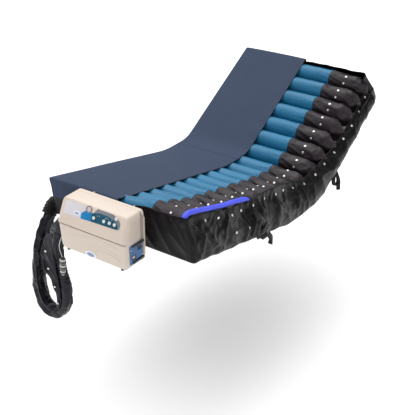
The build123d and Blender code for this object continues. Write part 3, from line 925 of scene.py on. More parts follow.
def make_sheet(name, s_free, s_seam):
    """Half of the cover: a top panel with a skirt down its left side and round its free end."""
    side = 1 if s_free > s_seam else -1
    r = SHEET_EDGE
    columns_x = np.linspace(SHEET_RIGHT, SHEET_LEFT + r, 44)
    rows_s = np.linspace(s_seam, s_free - side * r, 96)
    gx, gs = np.meshgrid(columns_x, rows_s)
    gx = sheet_x(gx, gs)
    top = bent(gx, gs, sheet_height(gx, gs))
    points = list(top.reshape(-1, 3))
    faces = grid_faces(len(rows_s), len(columns_x))
    stations = [(x, s_free - side * r, 0.0, side) for x in columns_x]
    stations += [(columns_x[-1], s_free - side * r, -math.sin(t), side * math.cos(t))
                 for t in np.linspace(0, math.pi / 2, 7)[1:-1]]
    stations += [(columns_x[-1], s, -1.0, 0.0) for s in rows_s[::-1]]
    curve = [(r * math.sin(t), r * (1 - math.cos(t))) for t in np.linspace(0, math.pi / 2, 6)]
    curve += [(r, r + d) for d in np.linspace(0, SHEET_DROP - r, 14)[1:]]
    depth = len(curve)
    begin = len(points)
    for i, (x, s, dx, ds) in enumerate(stations):
        for k, (out, down) in enumerate(curve):
            hang = max(0.0, down - r) / (SHEET_DROP - r)
            ripple = 0.0
            if down > r:
                ripple = math.sin(x * 31 + s * 27) * 0.004 * hang + math.sin(s * 61 + x * 47) * 0.002 * hang
            near = float(smooth(1 - abs(s - s_free) / 0.16)) if side < 0 else 0.0
            tuck = hang**1.1 * (0.003 * abs(ds) if side < 0 else 0.006 * abs(ds))
            px = float(sheet_x(x, s)) + dx * (out + ripple) + 0.034 * hang**1.1 * abs(dx) * near
            ps = s + ds * (out + ripple) - side * tuck
            v = float(sheet_height(sheet_x(x, s), np.array(s))) - down
            points.append(bent(px, ps, v))
    faces += [(begin + i * depth + k, begin + i * depth + k + 1, begin + (i + 1) * depth + k + 1,
               begin + (i + 1) * depth + k) for i in range(len(stations) - 1) for k in range(depth - 1)]
    sheet = mesh_object(name, points, faces, [cover_cloth, hem_cloth])
    bm = bmesh.new()
    bm.from_mesh(sheet.data)
    bmesh.ops.remove_doubles(bm, verts=bm.verts, dist=0.0002)
    bmesh.ops.recalc_face_normals(bm, faces=bm.faces)
    bm.faces.ensure_lookup_table()
    upward = bm.faces[0].normal.z
    if upward < 0:
        bmesh.ops.reverse_faces(bm, faces=bm.faces)
    bm.to_mesh(sheet.data)
    bm.free()
    shade_smooth(sheet)
    add_thickness(sheet, 0.0026, -1)
    return sheet


sheet_head = make_sheet("top_cover_head_half", BACK_END + 0.017, 0.0)
sheet_foot = make_sheet("top_cover_foot_half", LEG_END - 0.022, 0.0)


def make_hem(name, s_from, s_to):
    """The bound right edge of the cover."""
    s = np.linspace(s_from, s_to, 90)
    x = sheet_x(SHEET_RIGHT, s)
    path = bent(x, s, sheet_height(x, s) - 0.0014)
    return tube(name, path, (np.ones((90, 1)) * np.array([[0.0042, 0.0024]])), hem_cloth, 12)


hem_head = make_hem("top_cover_hem_head", 0.0, BACK_END - 0.002)
hem_foot = make_hem("top_cover_hem_foot", 0.0, LEG_END - 0.004)
cross_folds(sheet_head, sheet_foot)
cross_folds(hem_head, hem_foot)
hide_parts("top_cover_back", "top_cover_seat")
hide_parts("top_cover_leg")

# ---- side flap along the right edge ----

WALL_CORNER = 0.020      # the end walls' rounded corners
FOOT_WALL = LEG_END - 0.008
FLAP_FOOT_END = LEG_END - 0.006
FLAP_HEAD_END = BACK_END - 0.05
FLAP_REACH = 0.041       # the flap's folds never stand out further than this


FLAP_HEM = [(-1.16, 0.222), (-1.06, 0.236), (-0.95, 0.228), (-0.80, 0.212), (-0.68, 0.212), (-0.57, 0.205),
            (-0.48, 0.232), (-0.34, 0.246), (-0.22, 0.244), (-0.10, 0.228), (-0.03, 0.214), (0.06, 0.196),
            (0.13, 0.216), (0.26, 0.172), (0.40, 0.132), (0.60, 0.126), (0.95, 0.130)]


def flap_top(s):
    """Height and lean of the flap's upper edge along the bed."""
    places, heights = zip(*FLAP_HEM)
    height = np.mean([np.interp(s + d, places, heights) for d in (-0.03, -0.01, 0.01, 0.03)], axis=0)
    lean = 0.424 + 0.006 * np.sin(s * 13.0) + 0.016 * smooth((s - 0.02) / 0.3)
    return height, lean


def flap_point(s, t):
    """A point on the flap: s along the bed, t from its lower edge 0 to its upper edge 1."""
    s, t = np.broadcast_arrays(np.asarray(s, float), np.asarray(t, float))
    height, lean = flap_top(s)
    belly = 0.014 + 0.026 * smooth((s + 0.12) / 0.25) * (1 - 0.5 * smooth((s - 0.4) / 0.3))
    x = HALF_WIDTH + 0.003 + belly * np.sin(math.pi * np.clip(t, 0, 1) ** 0.75) ** 0.9
    x = x + (lean - HALF_WIDTH - 0.003) * smooth((t - 0.35) / 0.65)
    low = 0.004 + 0.004 * np.sin(s * 31) * np.sin(s * 13 + 1)
    v = low + (height - low) * t
    flat = np.stack([s * 0.8, t * 0.22], axis=-1)
    slant = np.stack([s + t * 0.14, t * 0.10 + s * 0.12], axis=-1)
    hanging = np.stack([s, t * 0.05], axis=-1)
    fold = ((creases(hanging, 0.17, 7) - 0.5) * 0.012 + (creases(slant, 0.22, 9) - 0.5) * 0.015
            + (creases(flat, 0.09, 18) - 0.5) * 0.004 + waves(flat, 0.05, 12) * 0.0010)
    calm = 1 - 0.45 * smooth((s - 0.15) / 0.25)
    fade = smooth(t / 0.12) * (1 - 0.45 * smooth((t - 0.80) / 0.2)) * calm
    x = x + fold * fade
    x = np.where(x > HALF_WIDTH, HALF_WIDTH + FLAP_REACH * np.tanh((x - HALF_WIDTH) / FLAP_REACH), x)
    from_end = s - FOOT_WALL
    short = WALL_CORNER - np.clip(from_end, 0, WALL_CORNER)
    corner = HALF_WIDTH - WALL_CORNER + np.sqrt(WALL_CORNER**2 - short**2)
    inward = (lean - HALF_WIDTH) * smooth((t - 0.35) / 0.65)
    x = x + (corner + inward + 0.004 - x) * smooth((0.05 - from_end) / 0.04)
    v = v + (creases(flat + 5, 0.16, 15) - 0.5) * 0.010 * smooth(t / 0.3) * (1 - smooth((t - 0.9) / 0.1))
    return bent(x, s, v)


def make_flap(name, s_from, s_to):
    rows = int(abs(s_to - s_from) / 0.006)
    s = np.linspace(s_from, s_to, rows)[:, None]
    t = np.linspace(0, 1, 40)[None, :]
    flap = grid_object(name, flap_point(s, t), base_cloth)
    add_thickness(flap, 0.0025, 0)
    edge = flap_point(np.linspace(s_from, s_to, rows), np.full(rows, 1.0))
    hem = tube(name + "_binding", edge, 0.0034, base_cloth, 10)
    return flap, hem


flap_head, flap_hem_head = make_flap("side_flap_head_half", 0.0, FLAP_HEAD_END)
flap_foot, flap_hem_foot = make_flap("side_flap_foot_half", 0.0, FLAP_FOOT_END)

FLAP_SNAP_STEP = 0.113


def flap_stud(s, t):
    place = flap_point(s, t)
    along = flap_point(s + 0.01, t) - flap_point(s - 0.01, t)
    down = flap_point(s, t - 0.04) - flap_point(s, t + 0.03)
    out = np.cross(along, down)
    out /= np.linalg.norm(out)
    out = out if out[0] > 0 else -out
    return snap_stud("stud", place + out * 0.0022, out, 0.0075)


def make_flap_snaps():
    upper = np.arange(FLAP_FOOT_END + 0.05, FLAP_HEAD_END - 0.03, FLAP_SNAP_STEP)
    lower = [-0.74, -0.60, -0.47]
    spots = [(s, 0.86) for s in upper] + [(s, 0.42) for s in lower]
    head = joined("side_flap_snaps_head", [flap_stud(s, t) for s, t in spots if s >= 0])
    foot = joined("side_flap_snaps_foot", [flap_stud(s, t) for s, t in spots if s < 0])
    return head, foot


flap_snaps_head, flap_snaps_foot = make_flap_snaps()
cross_folds(flap_head, flap_foot)
cross_folds(flap_hem_head, flap_hem_foot)
cross_folds(flap_snaps_head, flap_snaps_foot)
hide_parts("side_flap_back", "side_flap_seat")
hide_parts("side_flap_leg")

# ---- base cover ----

TRAY_WALL = 0.110
CORNER = 0.016


def tray_profile():
    """Across the bed: up the right wall, under, and up the left wall."""
    right = [(HALF_WIDTH, v) for v in np.linspace(TRAY_WALL, CORNER, 10)]
    right += [(HALF_WIDTH - CORNER + CORNER * math.cos(t), CORNER - CORNER * math.sin(t))
              for t in np.linspace(0, math.pi / 2, 6)[1:]]
    bottom = [(x, 0.0) for x in np.linspace(HALF_WIDTH - CORNER, -HALF_WIDTH + CORNER, 40)[1:-1]]
    return right + bottom + [(-x, v) for x, v in right[::-1]]


def make_tray(name, s_from, s_to):
    profile = np.array(tray_profile())
    rows = int(abs(s_to - s_from) / 0.012)
    s = np.linspace(s_from, s_to, rows)[:, None]
    x, v = profile[None, :, 0], profile[None, :, 1]
    x, v, s = np.broadcast_arrays(x, v, s)
    flat = np.stack([s, v * 0.6, x * 0.2], axis=-1)
    wall = smooth((v - 0.002) / 0.03)
    x = x + np.sign(x) * ((creases(flat, 0.12, 31) - 0.5) * 0.008 + waves(flat, 0.05, 33) * 0.001) * wall
    v = v + 0.0012 + waves(np.stack([s, x], axis=-1), 0.2, 35) * 0.0008 * (1 - wall)
    return grid_object(name, bent(x, s, v), base_cloth)


def wall_outline():
    """Round both corners of an end wall: places across and their distance inwards from the end."""
    straight = HALF_WIDTH + 0.0015 - WALL_CORNER
    edge = [(straight + WALL_CORNER, WALL_CORNER + d) for d in np.linspace(0.030, 0, 6)[:-1]]
    edge += [(straight + WALL_CORNER * math.cos(t), WALL_CORNER - WALL_CORNER * math.sin(t))
             for t in np.linspace(0, math.pi / 2, 9)]
    across = [(x, 0.0) for x in np.linspace(straight, -straight, 112)[1:-1]]
    return np.array(edge + across + [(-x, d) for x, d in edge[::-1]])


def make_end_wall(name, s_end, top, rise, side, slack):
    """The cover's end, from the underside up and round both corners, higher on the uncovered half."""
    outline = wall_outline()
    x, inward = outline[:, :1], outline[:, 1:]
    t = np.linspace(0, 1, 28)[None, :]
    flat = np.stack(np.broadcast_arrays(x, t * 0.12), axis=-1)
    slant = np.stack(np.broadcast_arrays(x + t * 0.08, t * 0.1), axis=-1)
    fold = (creases(slant, 0.20, 51 + int(side)) - 0.5) * slack + waves(flat, 0.08, 53) * 0.0008
    fold = fold * (x > -0.02) * (1 - smooth((np.abs(x) - 0.40) / 0.04))
    height = top + rise * smooth((x - 0.02) / 0.2) + 0.003 * np.sin(x * 17)
    under_skirt = smooth((-x - 0.425) / 0.03)
    height = height * (1 - under_skirt) + 0.104 * under_skirt
    s = s_end - side * inward + side * fold * smooth(t / 0.15)
    lean = 0.033 * smooth((t * height / 0.22 - 0.35) / 0.65) * smooth((x - 0.38) / 0.06)
    x, t, s, height = np.broadcast_arrays(x - lean, t, s, height)
    return grid_object(name, bent(x, s, 0.002 + height * t), base_cloth)


tray_head = joined("base_cover_head_half", [
    make_tray("tray", 0.0, BACK_END - 0.004),
    make_end_wall("wall", BACK_END + 0.004, 0.208, 0.008, 1, 0.005),
])
tray_foot = joined("base_cover_foot_half", [
    make_tray("tray", 0.0, LEG_END - 0.006),
    make_end_wall("wall", FOOT_WALL, 0.196, 0.036, -1, 0.010),
])
for piece in (tray_head, tray_foot):
    shade_smooth(piece)
    add_thickness(piece, 0.003, 0)
cross_folds(tray_head, tray_foot)


def make_foam(section, s_from, s_to):
    """A foam slab with eased edges that fills the base cover under the cells."""
    x = np.linspace(-HALF_WIDTH + 0.014, HALF_WIDTH - 0.034, 3)
    s = np.linspace(s_from, s_to, 12)
    outline = [(x[0], 0.0045), (x[2], 0.0045), (x[2], 0.0775), (x[0], 0.0775)]
    points = np.array([[(px, si, pv) for px, pv in outline] for si in s])
    placed = bent_rigid(points - (0, (s_from + s_to) / 2, 0), (s_from + s_to) / 2)
    faces = grid_faces(len(s), 4, closed=True) + [(3, 2, 1, 0), tuple(range(4 * len(s) - 4, 4 * len(s)))]
    slab = mesh_object(f"foam_slab_{section}", placed.reshape(-1, 3), faces, foam_pores, shade=False)
    soften(slab, 0.006, 4)
    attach(slab, f"{section}_section")
    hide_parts(f"foam_base_{section}")


make_foam("back", SEAT_HALF + 0.004, BACK_END - 0.016)
make_foam("seat", -SEAT_HALF + 0.002, SEAT_HALF - 0.002)
make_foam("leg", -SEAT_HALF - 0.004, LEG_END + 0.018)
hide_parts("base_cover_back", "base_cover_seat")
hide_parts("base_cover_leg")


def make_air_lines(section, s_from, s_to):
    """Two hoses along the foam's left side, each with a riser to every other cell."""
    hoses = []
    middle = (s_from + s_to) / 2
    for i, x in enumerate((-0.412, -0.436)):
        run = np.linspace(s_from, s_to, 24) - middle
        path = bent_rigid(np.stack([np.full(24, x), run, np.full(24, 0.022)], axis=-1), middle)
        hoses.append(tube("hose", path, 0.008, tubing, 16))
        for number, s in enumerate(cell_middles()):
            if min(s_from, s_to) < s < max(s_from, s_to) and number % 2 == i:
                riser = bent_rigid(np.array([[x, 0.0, v] for v in np.linspace(0.022, CELL_FLOOR, 6)]), s)
                hoses.append(tube("riser", riser, 0.005, tubing, 12))
    lines = joined(f"air_hoses_{section}", hoses)
    shade_smooth(lines)
    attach(lines, f"{section}_section")
    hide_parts(f"air_line_{section}")


make_air_lines("back", SEAT_HALF + 0.006, BACK_END - 0.030)
make_air_lines("seat", -SEAT_HALF + 0.006, SEAT_HALF - 0.006)
make_air_lines("leg", -SEAT_HALF - 0.006, LEG_END + 0.030)


def make_elbow():
    """The fabric elbow that takes the sleeve into the mattress at its left foot corner."""
    path = smooth_path([(-0.505, -1.103, 0.195), (-0.502, -1.075, 0.235), (-0.488, -1.062, 0.252),
                        (-0.452, -1.060, 0.254)], 70)
    t = np.linspace(0, 1, 70)
    radii = 0.0400 + 0.0016 * np.sin(t * 44) + 0.0010 * np.sin(t * 97)
    elbow = tube("hose_elbow", path, radii, base_cloth, 48, caps=False)
    add_thickness(elbow, 0.002, 0)
    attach(elbow, "leg_section")
    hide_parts("base_cover_leg")


make_elbow()

# ---- padded carry handle ----


def make_handle():
    route = [(-1.142, 0.214), (-1.132, 0.240), (-1.105, 0.254), (-1.02, 0.248), (-0.90, 0.236),
             (-0.79, 0.228), (-0.70, 0.228), (-0.60, 0.224), (-0.555, 0.216), (-0.536, 0.200),
             (-0.528, 0.182)]
    raw = bent(0.401, np.array([s for s, _ in route]), np.array([v for _, v in route]))
    path = smooth_path(raw, 110)
    t = np.linspace(0, 1, 110)
    ends = np.minimum(smooth(t / 0.035), smooth((1 - t) / 0.035))
    width = (0.0090 + 0.0065 * ends) * (1 + 0.03 * np.sin(t * 60) * np.sin(t * 23))
    radii = np.stack([width, width * 0.82], axis=1)
    handle = tube("carry_handle_padded", path, radii, handle_cloth, 24)
    _, side, up = frames_along(path)
    seam_points = path + up * (width * 0.80)[:, None]
    seam = tube("carry_handle_seam", seam_points, 0.0011, handle_cloth, 8)
    straps = []
    for end, nxt in ((path[2], path[0]), (path[-3], path[-1])):
        away = (nxt - end) / np.linalg.norm(nxt - end)
        run = np.linspace(0, 1, 8)[:, None]
        line = end + away * run * 0.045 + np.array([0.012, 0, 0]) * run
        straps.append(tube("tab", line, np.tile([[0.0125, 0.0016]], (8, 1)), webbing, 12))
    tabs = joined("carry_handle_tabs", straps)
    for piece in (handle, seam, tabs):
        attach(piece, "leg_section")
    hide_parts("carry_handle")


make_handle()

# ---- webbing straps ----


def ribbon(name, path, width, thickness, across, material=webbing):
    """A flat strap along a path, across is its width's direction."""
    path = np.asarray(path, float)
    tangent, _, _ = frames_along(path)
    across = np.asarray(across, float)
    if across.ndim == 1:
        across = np.tile(across, (len(path), 1))
    across = across - tangent * (across * tangent).sum(1)[:, None]
    across /= np.linalg.norm(across, axis=1)[:, None]
    out = np.cross(tangent, across)
    w, h = width / 2, thickness / 2
    loop = [(-w, 0), (-w * 0.96, h), (0, h * 1.15), (w * 0.96, h), (w, 0), (w * 0.96, -h), (0, -h * 1.15),
            (-w * 0.96, -h)]
    rings = np.stack([path + across * a + out * b for a, b in loop], axis=1)
    count = len(path)
    faces = grid_faces(count, len(loop), closed=True)
    faces += [tuple(range(len(loop)))[::-1], tuple(range((count - 1) * len(loop), count * len(loop)))]
    return mesh_object(name, rings.reshape(-1, 3), faces, material)


def path_from(place, offsets, count):
    """A rounded path near points given from one place."""
    return smooth_path([place + Vector(offset) for offset in offsets], count)


def make_strap_head():
    top = Vector(bent(HALF_WIDTH + 0.006, SEAT_HALF + 0.200, 0.030))
    loop = path_from(top, [(0, 0, 0), (0.012, 0.006, -0.04), (0.02, 0.03, -0.09), (0.016, -0.005, -0.120),
                           (0.008, -0.03, -0.085), (0.004, -0.012, -0.03)], 60)
    tail = path_from(top, [(0.018, 0.020, -0.075), (0.022, 0.022, -0.10), (0.016, 0.030, -0.130),
                           (0.024, 0.022, -0.150)], 30)
    pieces = [
        ribbon("loop", loop, 0.025, 0.0024, (0.96, 0.2, 0.1)),
        ribbon("tail", tail, 0.025, 0.0024, (0.9, 0.4, 0)),
    ]
    strap = joined("strap_head_webbing", pieces)
    shade_smooth(strap)
    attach(strap, "back_section")
    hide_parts("strap_head")


def box(name, lows, highs, material):
    """A block between two corners, to be bevelled by its caller."""
    x0, y0, z0 = lows
    x1, y1, z1 = highs
    rim = [(x0, y0), (x1, y0), (x1, y1), (x0, y1)]
    points = [(x, y, z) for z in (z0, z1) for x, y in rim]
    faces = [(3, 2, 1, 0), (4, 5, 6, 7), (0, 1, 5, 4), (1, 2, 6, 5), (2, 3, 7, 6), (3, 0, 4, 7)]
    return mesh_object(name, points, faces, material, shade=False)


def make_buckle(middle, turn):
    """Side-release buckle: a body, two arms and two bars, flat against the flap."""
    w, h, d = 0.046, 0.058, 0.011
    parts = [
        box("body", (-d / 2, -w / 2, -h / 2), (d / 2, w / 2, h * 0.05), black_plastic),
        box("arm", (-d * 0.32, -w * 0.46, 0), (d * 0.32, -w * 0.28, h * 0.36), black_plastic),
        box("arm", (-d * 0.32, w * 0.28, 0), (d * 0.32, w * 0.46, h * 0.36), black_plastic),
        box("tongue", (-d * 0.28, -w * 0.12, 0), (d * 0.28, w * 0.12, h * 0.38), black_plastic),
        box("bar", (-d / 2, -w / 2, h * 0.33), (d / 2, w / 2, h * 0.5), black_plastic),
    ]
    buckle = joined("strap_buckle", parts)
    c, sn = math.cos(turn), math.sin(turn)
    rotation = np.array([[1, 0, 0], [0, c, -sn], [0, sn, c]])
    points = np.array([v.co for v in buckle.data.vertices]) @ rotation.T + np.array(middle)
    buckle.data.vertices.foreach_set("co", points.astype(np.float32).ravel())
    soften(buckle, 0.0022, 3)
    return buckle


def make_strap_foot():
    at = Vector(bent(HALF_WIDTH + 0.022, -SEAT_HALF - 0.395, 0.125))
    low = at + Vector((0.004, 0.05, -0.075))
    sewn_on = Vector(bent(HALF_WIDTH + 0.022, -SEAT_HALF - 0.44, 0.160))
    first = smooth_path(
        [sewn_on, at + Vector((0.01, -0.03, 0.02)), at + Vector((0.012, 0.0, -0.005)), low], 36
    )
    second = path_from(low, [(0, 0.012, -0.03), (0.011, 0.03, -0.07), (0.0, 0.065, -0.10),
                             (0.008, 0.04, -0.125)], 36)
    third = path_from(at, [(0.014, -0.01, 0.0), (0.016, -0.05, -0.05), (0.012, -0.04, -0.10),
                           (0.016, 0.0, -0.12), low - at + Vector((0.012, 0.01, -0.04))], 44)
    strap = joined("strap_foot_webbing", [
        ribbon("a", first, 0.030, 0.0024, (0.15, 0.8, 0.5)),
        ribbon("b", second, 0.030, 0.0024, (0.2, 0.9, 0.2)),
        ribbon("c", third, 0.025, 0.0024, (0.2, 0.8, -0.3)),
    ])
    shade_smooth(strap)
    buckle = make_buckle(tuple(low + Vector((0.008, 0.004, -0.006))), 0.6)
    for piece in (strap, buckle):
        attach(piece, "leg_section")
    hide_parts("strap_foot")


make_strap_head()
make_strap_foot()

# ---- control unit ----

PUMP_LEFT, PUMP_RIGHT = -0.210, 0.222
PUMP_MID = (PUMP_LEFT + PUMP_RIGHT) / 2
PUMP_BACK, PUMP_FLOOR = -1.174, 0.195
PUMP_DEPTH, PUMP_HEIGHT = 0.169, 0.282
TOP_DEPTH, LEDGE, LIP = 0.116, 0.163, 0.008
PARTING = 0.026
SIDE_ROUND = 0.020
FACE_ANGLE = math.atan2(PUMP_DEPTH - TOP_DEPTH, PUMP_HEIGHT - LEDGE)
FACE_MIDDLE = Vector(
    (PUMP_MID, PUMP_BACK - (PUMP_DEPTH + TOP_DEPTH) / 2, PUMP_FLOOR + (PUMP_HEIGHT + LEDGE) / 2)
)
FACE_OUT = Vector((0, -math.cos(FACE_ANGLE), math.sin(FACE_ANGLE)))
FACE_UP = Vector((0, math.sin(FACE_ANGLE), math.cos(FACE_ANGLE)))


def rounded_profile(corners):
    """A closed outline of (depth forwards, height) with each corner rounded by its own radius."""
    outline = []
    count = len(corners)
    for i, (y, z, r) in enumerate(corners):
        here = Vector((y, z))
        before = (Vector(corners[i - 1][:2]) - here).normalized()
        after = (Vector(corners[(i + 1) % count][:2]) - here).normalized()
        half = before.angle(after) / 2
        if r <= 0:
            outline.append((y, z))
            continue
        reach = r / math.tan(half)
        middle = here + (before + after).normalized() * (r / math.sin(half))
        a, b = here + before * reach - middle, here + after * reach - middle
        steps = 7
        for k in range(steps + 1):
            t = k / steps
            blend = a.lerp(b, t).normalized() * r
            outline.append(tuple(middle + blend))
    return outline


def corner_drop(distance, radius):
    """How far a rounded corner falls away at a distance from its end."""
    if distance >= radius:
        return 0.0
    return radius - math.sqrt(max(radius**2 - (radius - max(distance, 0.0)) ** 2, 0.0))


def shell(name, corners, left, right, material, side_round=SIDE_ROUND):
    """A moulded shell: the outline run across from left to right, with both ends rounded."""
    outline = np.array(rounded_profile(corners))
    middle = (outline.max(0) + outline.min(0)) / 2
    half = (outline.max(0) - outline.min(0)) / 2
    turns = np.linspace(0, math.pi / 2, 9)
    rounding = [(side_round * (1 - math.sin(t)), side_round * (1 - math.cos(t))) for t in turns]
    stations = [(left + across, inset) for across, inset in rounding[::-1]]
    stations += [(x, 0.0) for x in np.linspace(left + side_round, right - side_round, 40)[1:-1]]
    stations += [(right - across, inset) for across, inset in rounding]
    rings = []
    for x, inset in stations:
        scaled = middle + (outline - middle) * (1 - inset / half)
        # the corners are rounded more generously seen from the front, most of all at the left
        drop = corner_drop(x - left, 0.036) + corner_drop(right - x, 0.022)
        lift = corner_drop(x - left, 0.034) + corner_drop(right - x, 0.020)
        mid = PUMP_HEIGHT / 2
        over = np.clip((scaled[:, 1] - mid) / mid, 0, 1)
        under = np.clip((mid - scaled[:, 1]) / mid, 0, 1)
        z = scaled[:, 1] - drop * over + lift * under
        rings.append([(x, PUMP_BACK - y, PUMP_FLOOR + h) for y, h in zip(scaled[:, 0], z)])
    rings = np.array(rings)
    n = len(outline)
    faces = grid_faces(len(rings), n, closed=True)
    faces += [tuple(range(n))[::-1], tuple(range((len(rings) - 1) * n, len(rings) * n))]
    piece = mesh_object(name, rings.reshape(-1, 3), faces, material)
    face_outwards(piece)
    return piece


def sharp_by_angle(piece, degrees):
    """Smooth faces with creased edges sharper than the angle."""
    bm = bmesh.new()
    bm.from_mesh(piece.data)
    for edge in bm.edges:
        if len(edge.link_faces) == 2 and edge.calc_face_angle() > math.radians(degrees):
            edge.smooth = False
    for face in bm.faces:
        face.smooth = True
    bm.to_mesh(piece.data)
    bm.free()


def make_housing():
    gap = 0.0003
    front = shell("housing_front", [
        (PARTING + gap, 0.004, 0.002),
        (PUMP_DEPTH - LIP - 0.010, 0.001, 0.014),
        (PUMP_DEPTH - LIP, LEDGE - 0.0170, 0.002),
        (PUMP_DEPTH - LIP - 0.0070, LEDGE - 0.0150, 0.001),
        (PUMP_DEPTH - LIP - 0.0070, LEDGE - 0.0070, 0.001),
        (PUMP_DEPTH, LEDGE - 0.0045, 0.0030),
        (PUMP_DEPTH - 0.0006, LEDGE + 0.004, 0.002),
        (TOP_DEPTH, PUMP_HEIGHT, 0.019),
        (PARTING + gap, PUMP_HEIGHT, 0.002),
    ], PUMP_LEFT, PUMP_RIGHT, ivory)
    rear = shell("housing_rear", [
        (0.0, 0.0, 0.010),
        (PARTING - gap, 0.0, 0.002),
        (PARTING - gap, PUMP_HEIGHT, 0.002),
        (0.0, PUMP_HEIGHT, 0.010),
    ], PUMP_LEFT, PUMP_RIGHT, ivory)
    # a darker ivory strip inside the gap between the two shells: painted shade in the parting line
    core = shell("housing_seam", [
        (PARTING - 0.004, 0.006, 0.001),
        (PARTING + 0.004, 0.006, 0.001),
        (PARTING + 0.004, PUMP_HEIGHT - 0.002, 0.001),
        (PARTING - 0.004, PUMP_HEIGHT - 0.002, 0.001),
    ], PUMP_LEFT + 0.0010, PUMP_RIGHT - 0.0010, ivory_painted_shade)
    for piece in (front, rear, core):
        sharp_by_angle(piece, 38)
        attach(piece, "seat_section")
    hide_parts("front_housing")
    lugs = []
    for x in (PUMP_MID - 0.095, PUMP_MID + 0.095):
        ring = [(0.0042, -0.007), (0.0072, -0.007), (0.0078, -0.0055), (0.0078, 0.0055), (0.0072, 0.007),
                (0.0042, 0.007)]
        lug = lathe("lug", ring, (x, PUMP_BACK + 0.008, PUMP_FLOOR + PUMP_HEIGHT - 0.020), (1, 0, 0), ivory)
        foot = box("lug_foot", (x - 0.007, PUMP_BACK - 0.001, PUMP_FLOOR + PUMP_HEIGHT - 0.0275),
                   (x + 0.007, PUMP_BACK + 0.008, PUMP_FLOOR + PUMP_HEIGHT - 0.0125), ivory)
        lugs += [lug, foot]
    lugs = joined("hanger_lugs", lugs)
    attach(lugs, "seat_section")
    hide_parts("rear_housing")


make_housing()


def face_point(across, up, out):
    """A point on the sloping control face: across and up from its middle, out of it, in metres."""
    return FACE_MIDDLE + Vector((across, 0, 0)) + FACE_UP * up + FACE_OUT * out


def lower_point(across, up, out):
    """A point on the lower front: across from the unit's middle, up from its floor, out of the face."""
    lean = math.atan2(0.010, LEDGE - 0.012)
    depth = PUMP_DEPTH - LIP - 0.010 + up * math.tan(lean)
    y = PUMP_BACK - depth - out * math.cos(lean)
    return Vector((PUMP_MID + across, y, PUMP_FLOOR + up - out * math.sin(lean)))


def film(name, outline, height, material, place=face_point, edge=0.0004):
    """A thin moulded film with a rounded rim, on the control face or the lower front."""
    middle = np.mean(outline, axis=0)
    rings = [(1.0, 0.0), (1.0, height - edge), (1.0, height)]
    points = []
    for k, (_, out) in enumerate(rings):
        for a, b in outline:
            pull = edge * 1.5 if k == 2 else 0.0
            away = Vector((a - middle[0], b - middle[1]))
            away = away.normalized() * pull if away.length > 0 else away
            points.append(place(a - away.x, b - away.y, out))
    n = len(outline)
    faces = grid_faces(3, n, closed=True) + [tuple(range(2 * n, 3 * n)), tuple(range(n))[::-1]]
    piece = mesh_object(name, points, faces, material)
    face_outwards(piece)
    sharp_by_angle(piece, 40)
    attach(piece, "seat_section")
    return piece


def rounded_outline(corners):
    return [tuple(p) for p in rounded_profile(corners)]


def oval(cx, cy, rx, ry, count=36):
    turns = np.linspace(0, 2 * math.pi, count, endpoint=False)
    return [(cx + rx * math.cos(t), cy + ry * math.sin(t)) for t in turns]


def make_control_face():
    label = rounded_outline([(-0.183, -0.020, 0.010), (-0.060, -0.014, 0.006), (-0.052, 0.030, 0.006),
                             (-0.070, 0.055, 0.010), (-0.183, 0.050, 0.012)])
    film("label_panel", label, 0.0007, label_print)
    arch = rounded_outline([(-0.004, -0.010, 0.004), (0.170, -0.006, 0.008), (0.171, 0.024, 0.010),
                            (0.160, 0.038, 0.012), (0.118, 0.0585, 0.010), (0.020, 0.0585, 0.006),
                            (0.002, 0.034, 0.010)])
    film("display_arch", arch, 0.0013, grey_print)
    teal = rounded_outline([(-0.008, -0.012, 0.003), (0.160, -0.008, 0.006), (0.158, 0.014, 0.020),
                            (0.132, 0.031, 0.050), (0.090, 0.042, 0.080), (0.040, 0.042, 0.060),
                            (0.010, 0.034, 0.012), (-0.008, 0.030, 0.006)])
    panel = film("display_field", teal, 0.0018, teal_print)
    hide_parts("control_panel")
    mode = rounded_outline([(-0.072, -0.015, 0.006), (-0.0075, -0.012, 0.002), (-0.0075, 0.032, 0.006),
                            (-0.052, 0.030, 0.018), (-0.073, 0.012, 0.010)])
    film("mode_field", mode, 0.0016, blue_print)
    film("small_badge", oval(-0.101, 0.004, 0.020, 0.010), 0.0013, badge_print)
    film("small_badge_mark", oval(-0.101, 0.004, 0.013, 0.0055), 0.0018, badge_ink)
    film("front_badge", oval(-0.015, 0.024, 0.037, 0.0185), 0.0022, badge_print, lower_point)
    film("front_badge_mark", oval(-0.015, 0.024, 0.025, 0.0105), 0.0030, badge_ink, lower_point)
    lamp = face_point(-0.030, 0.042, 0)
    ring = lathe("alarm_lamp_ring", [(0.0185, 0.0), (0.0185, 0.0018), (0.0172, 0.0028), (0.0150, 0.0028),
                                     (0.0130, 0.0018), (0.0130, 0.0002)], lamp, FACE_OUT, grey_print, 40)
    lens = lathe("alarm_lamp_lens", [(0.0128, 0.0), (0.0126, 0.0018), (0.0110, 0.0034), (0.0078, 0.0046),
                                     (0.0040, 0.0052), (0.0004, 0.0054)], lamp, FACE_OUT, lamp_glass, 40)
    small = []
    led = [(0.0019, 0.0016), (0.0019, 0.0024), (0.0014, 0.0029), (0.0002, 0.0031)]
    for a, b in ((0.078, 0.027), (0.086, 0.029), (0.096, 0.027), (0.118, 0.029), (0.040, 0.028),
                 (0.028, 0.026)):
        small.append(lathe("led", led, face_point(a, b, 0), FACE_OUT, button_white, 14))
    leds = joined("indicator_lights", small)
    for piece in (ring, lens, leds):
        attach(piece, "seat_section")


make_control_face()


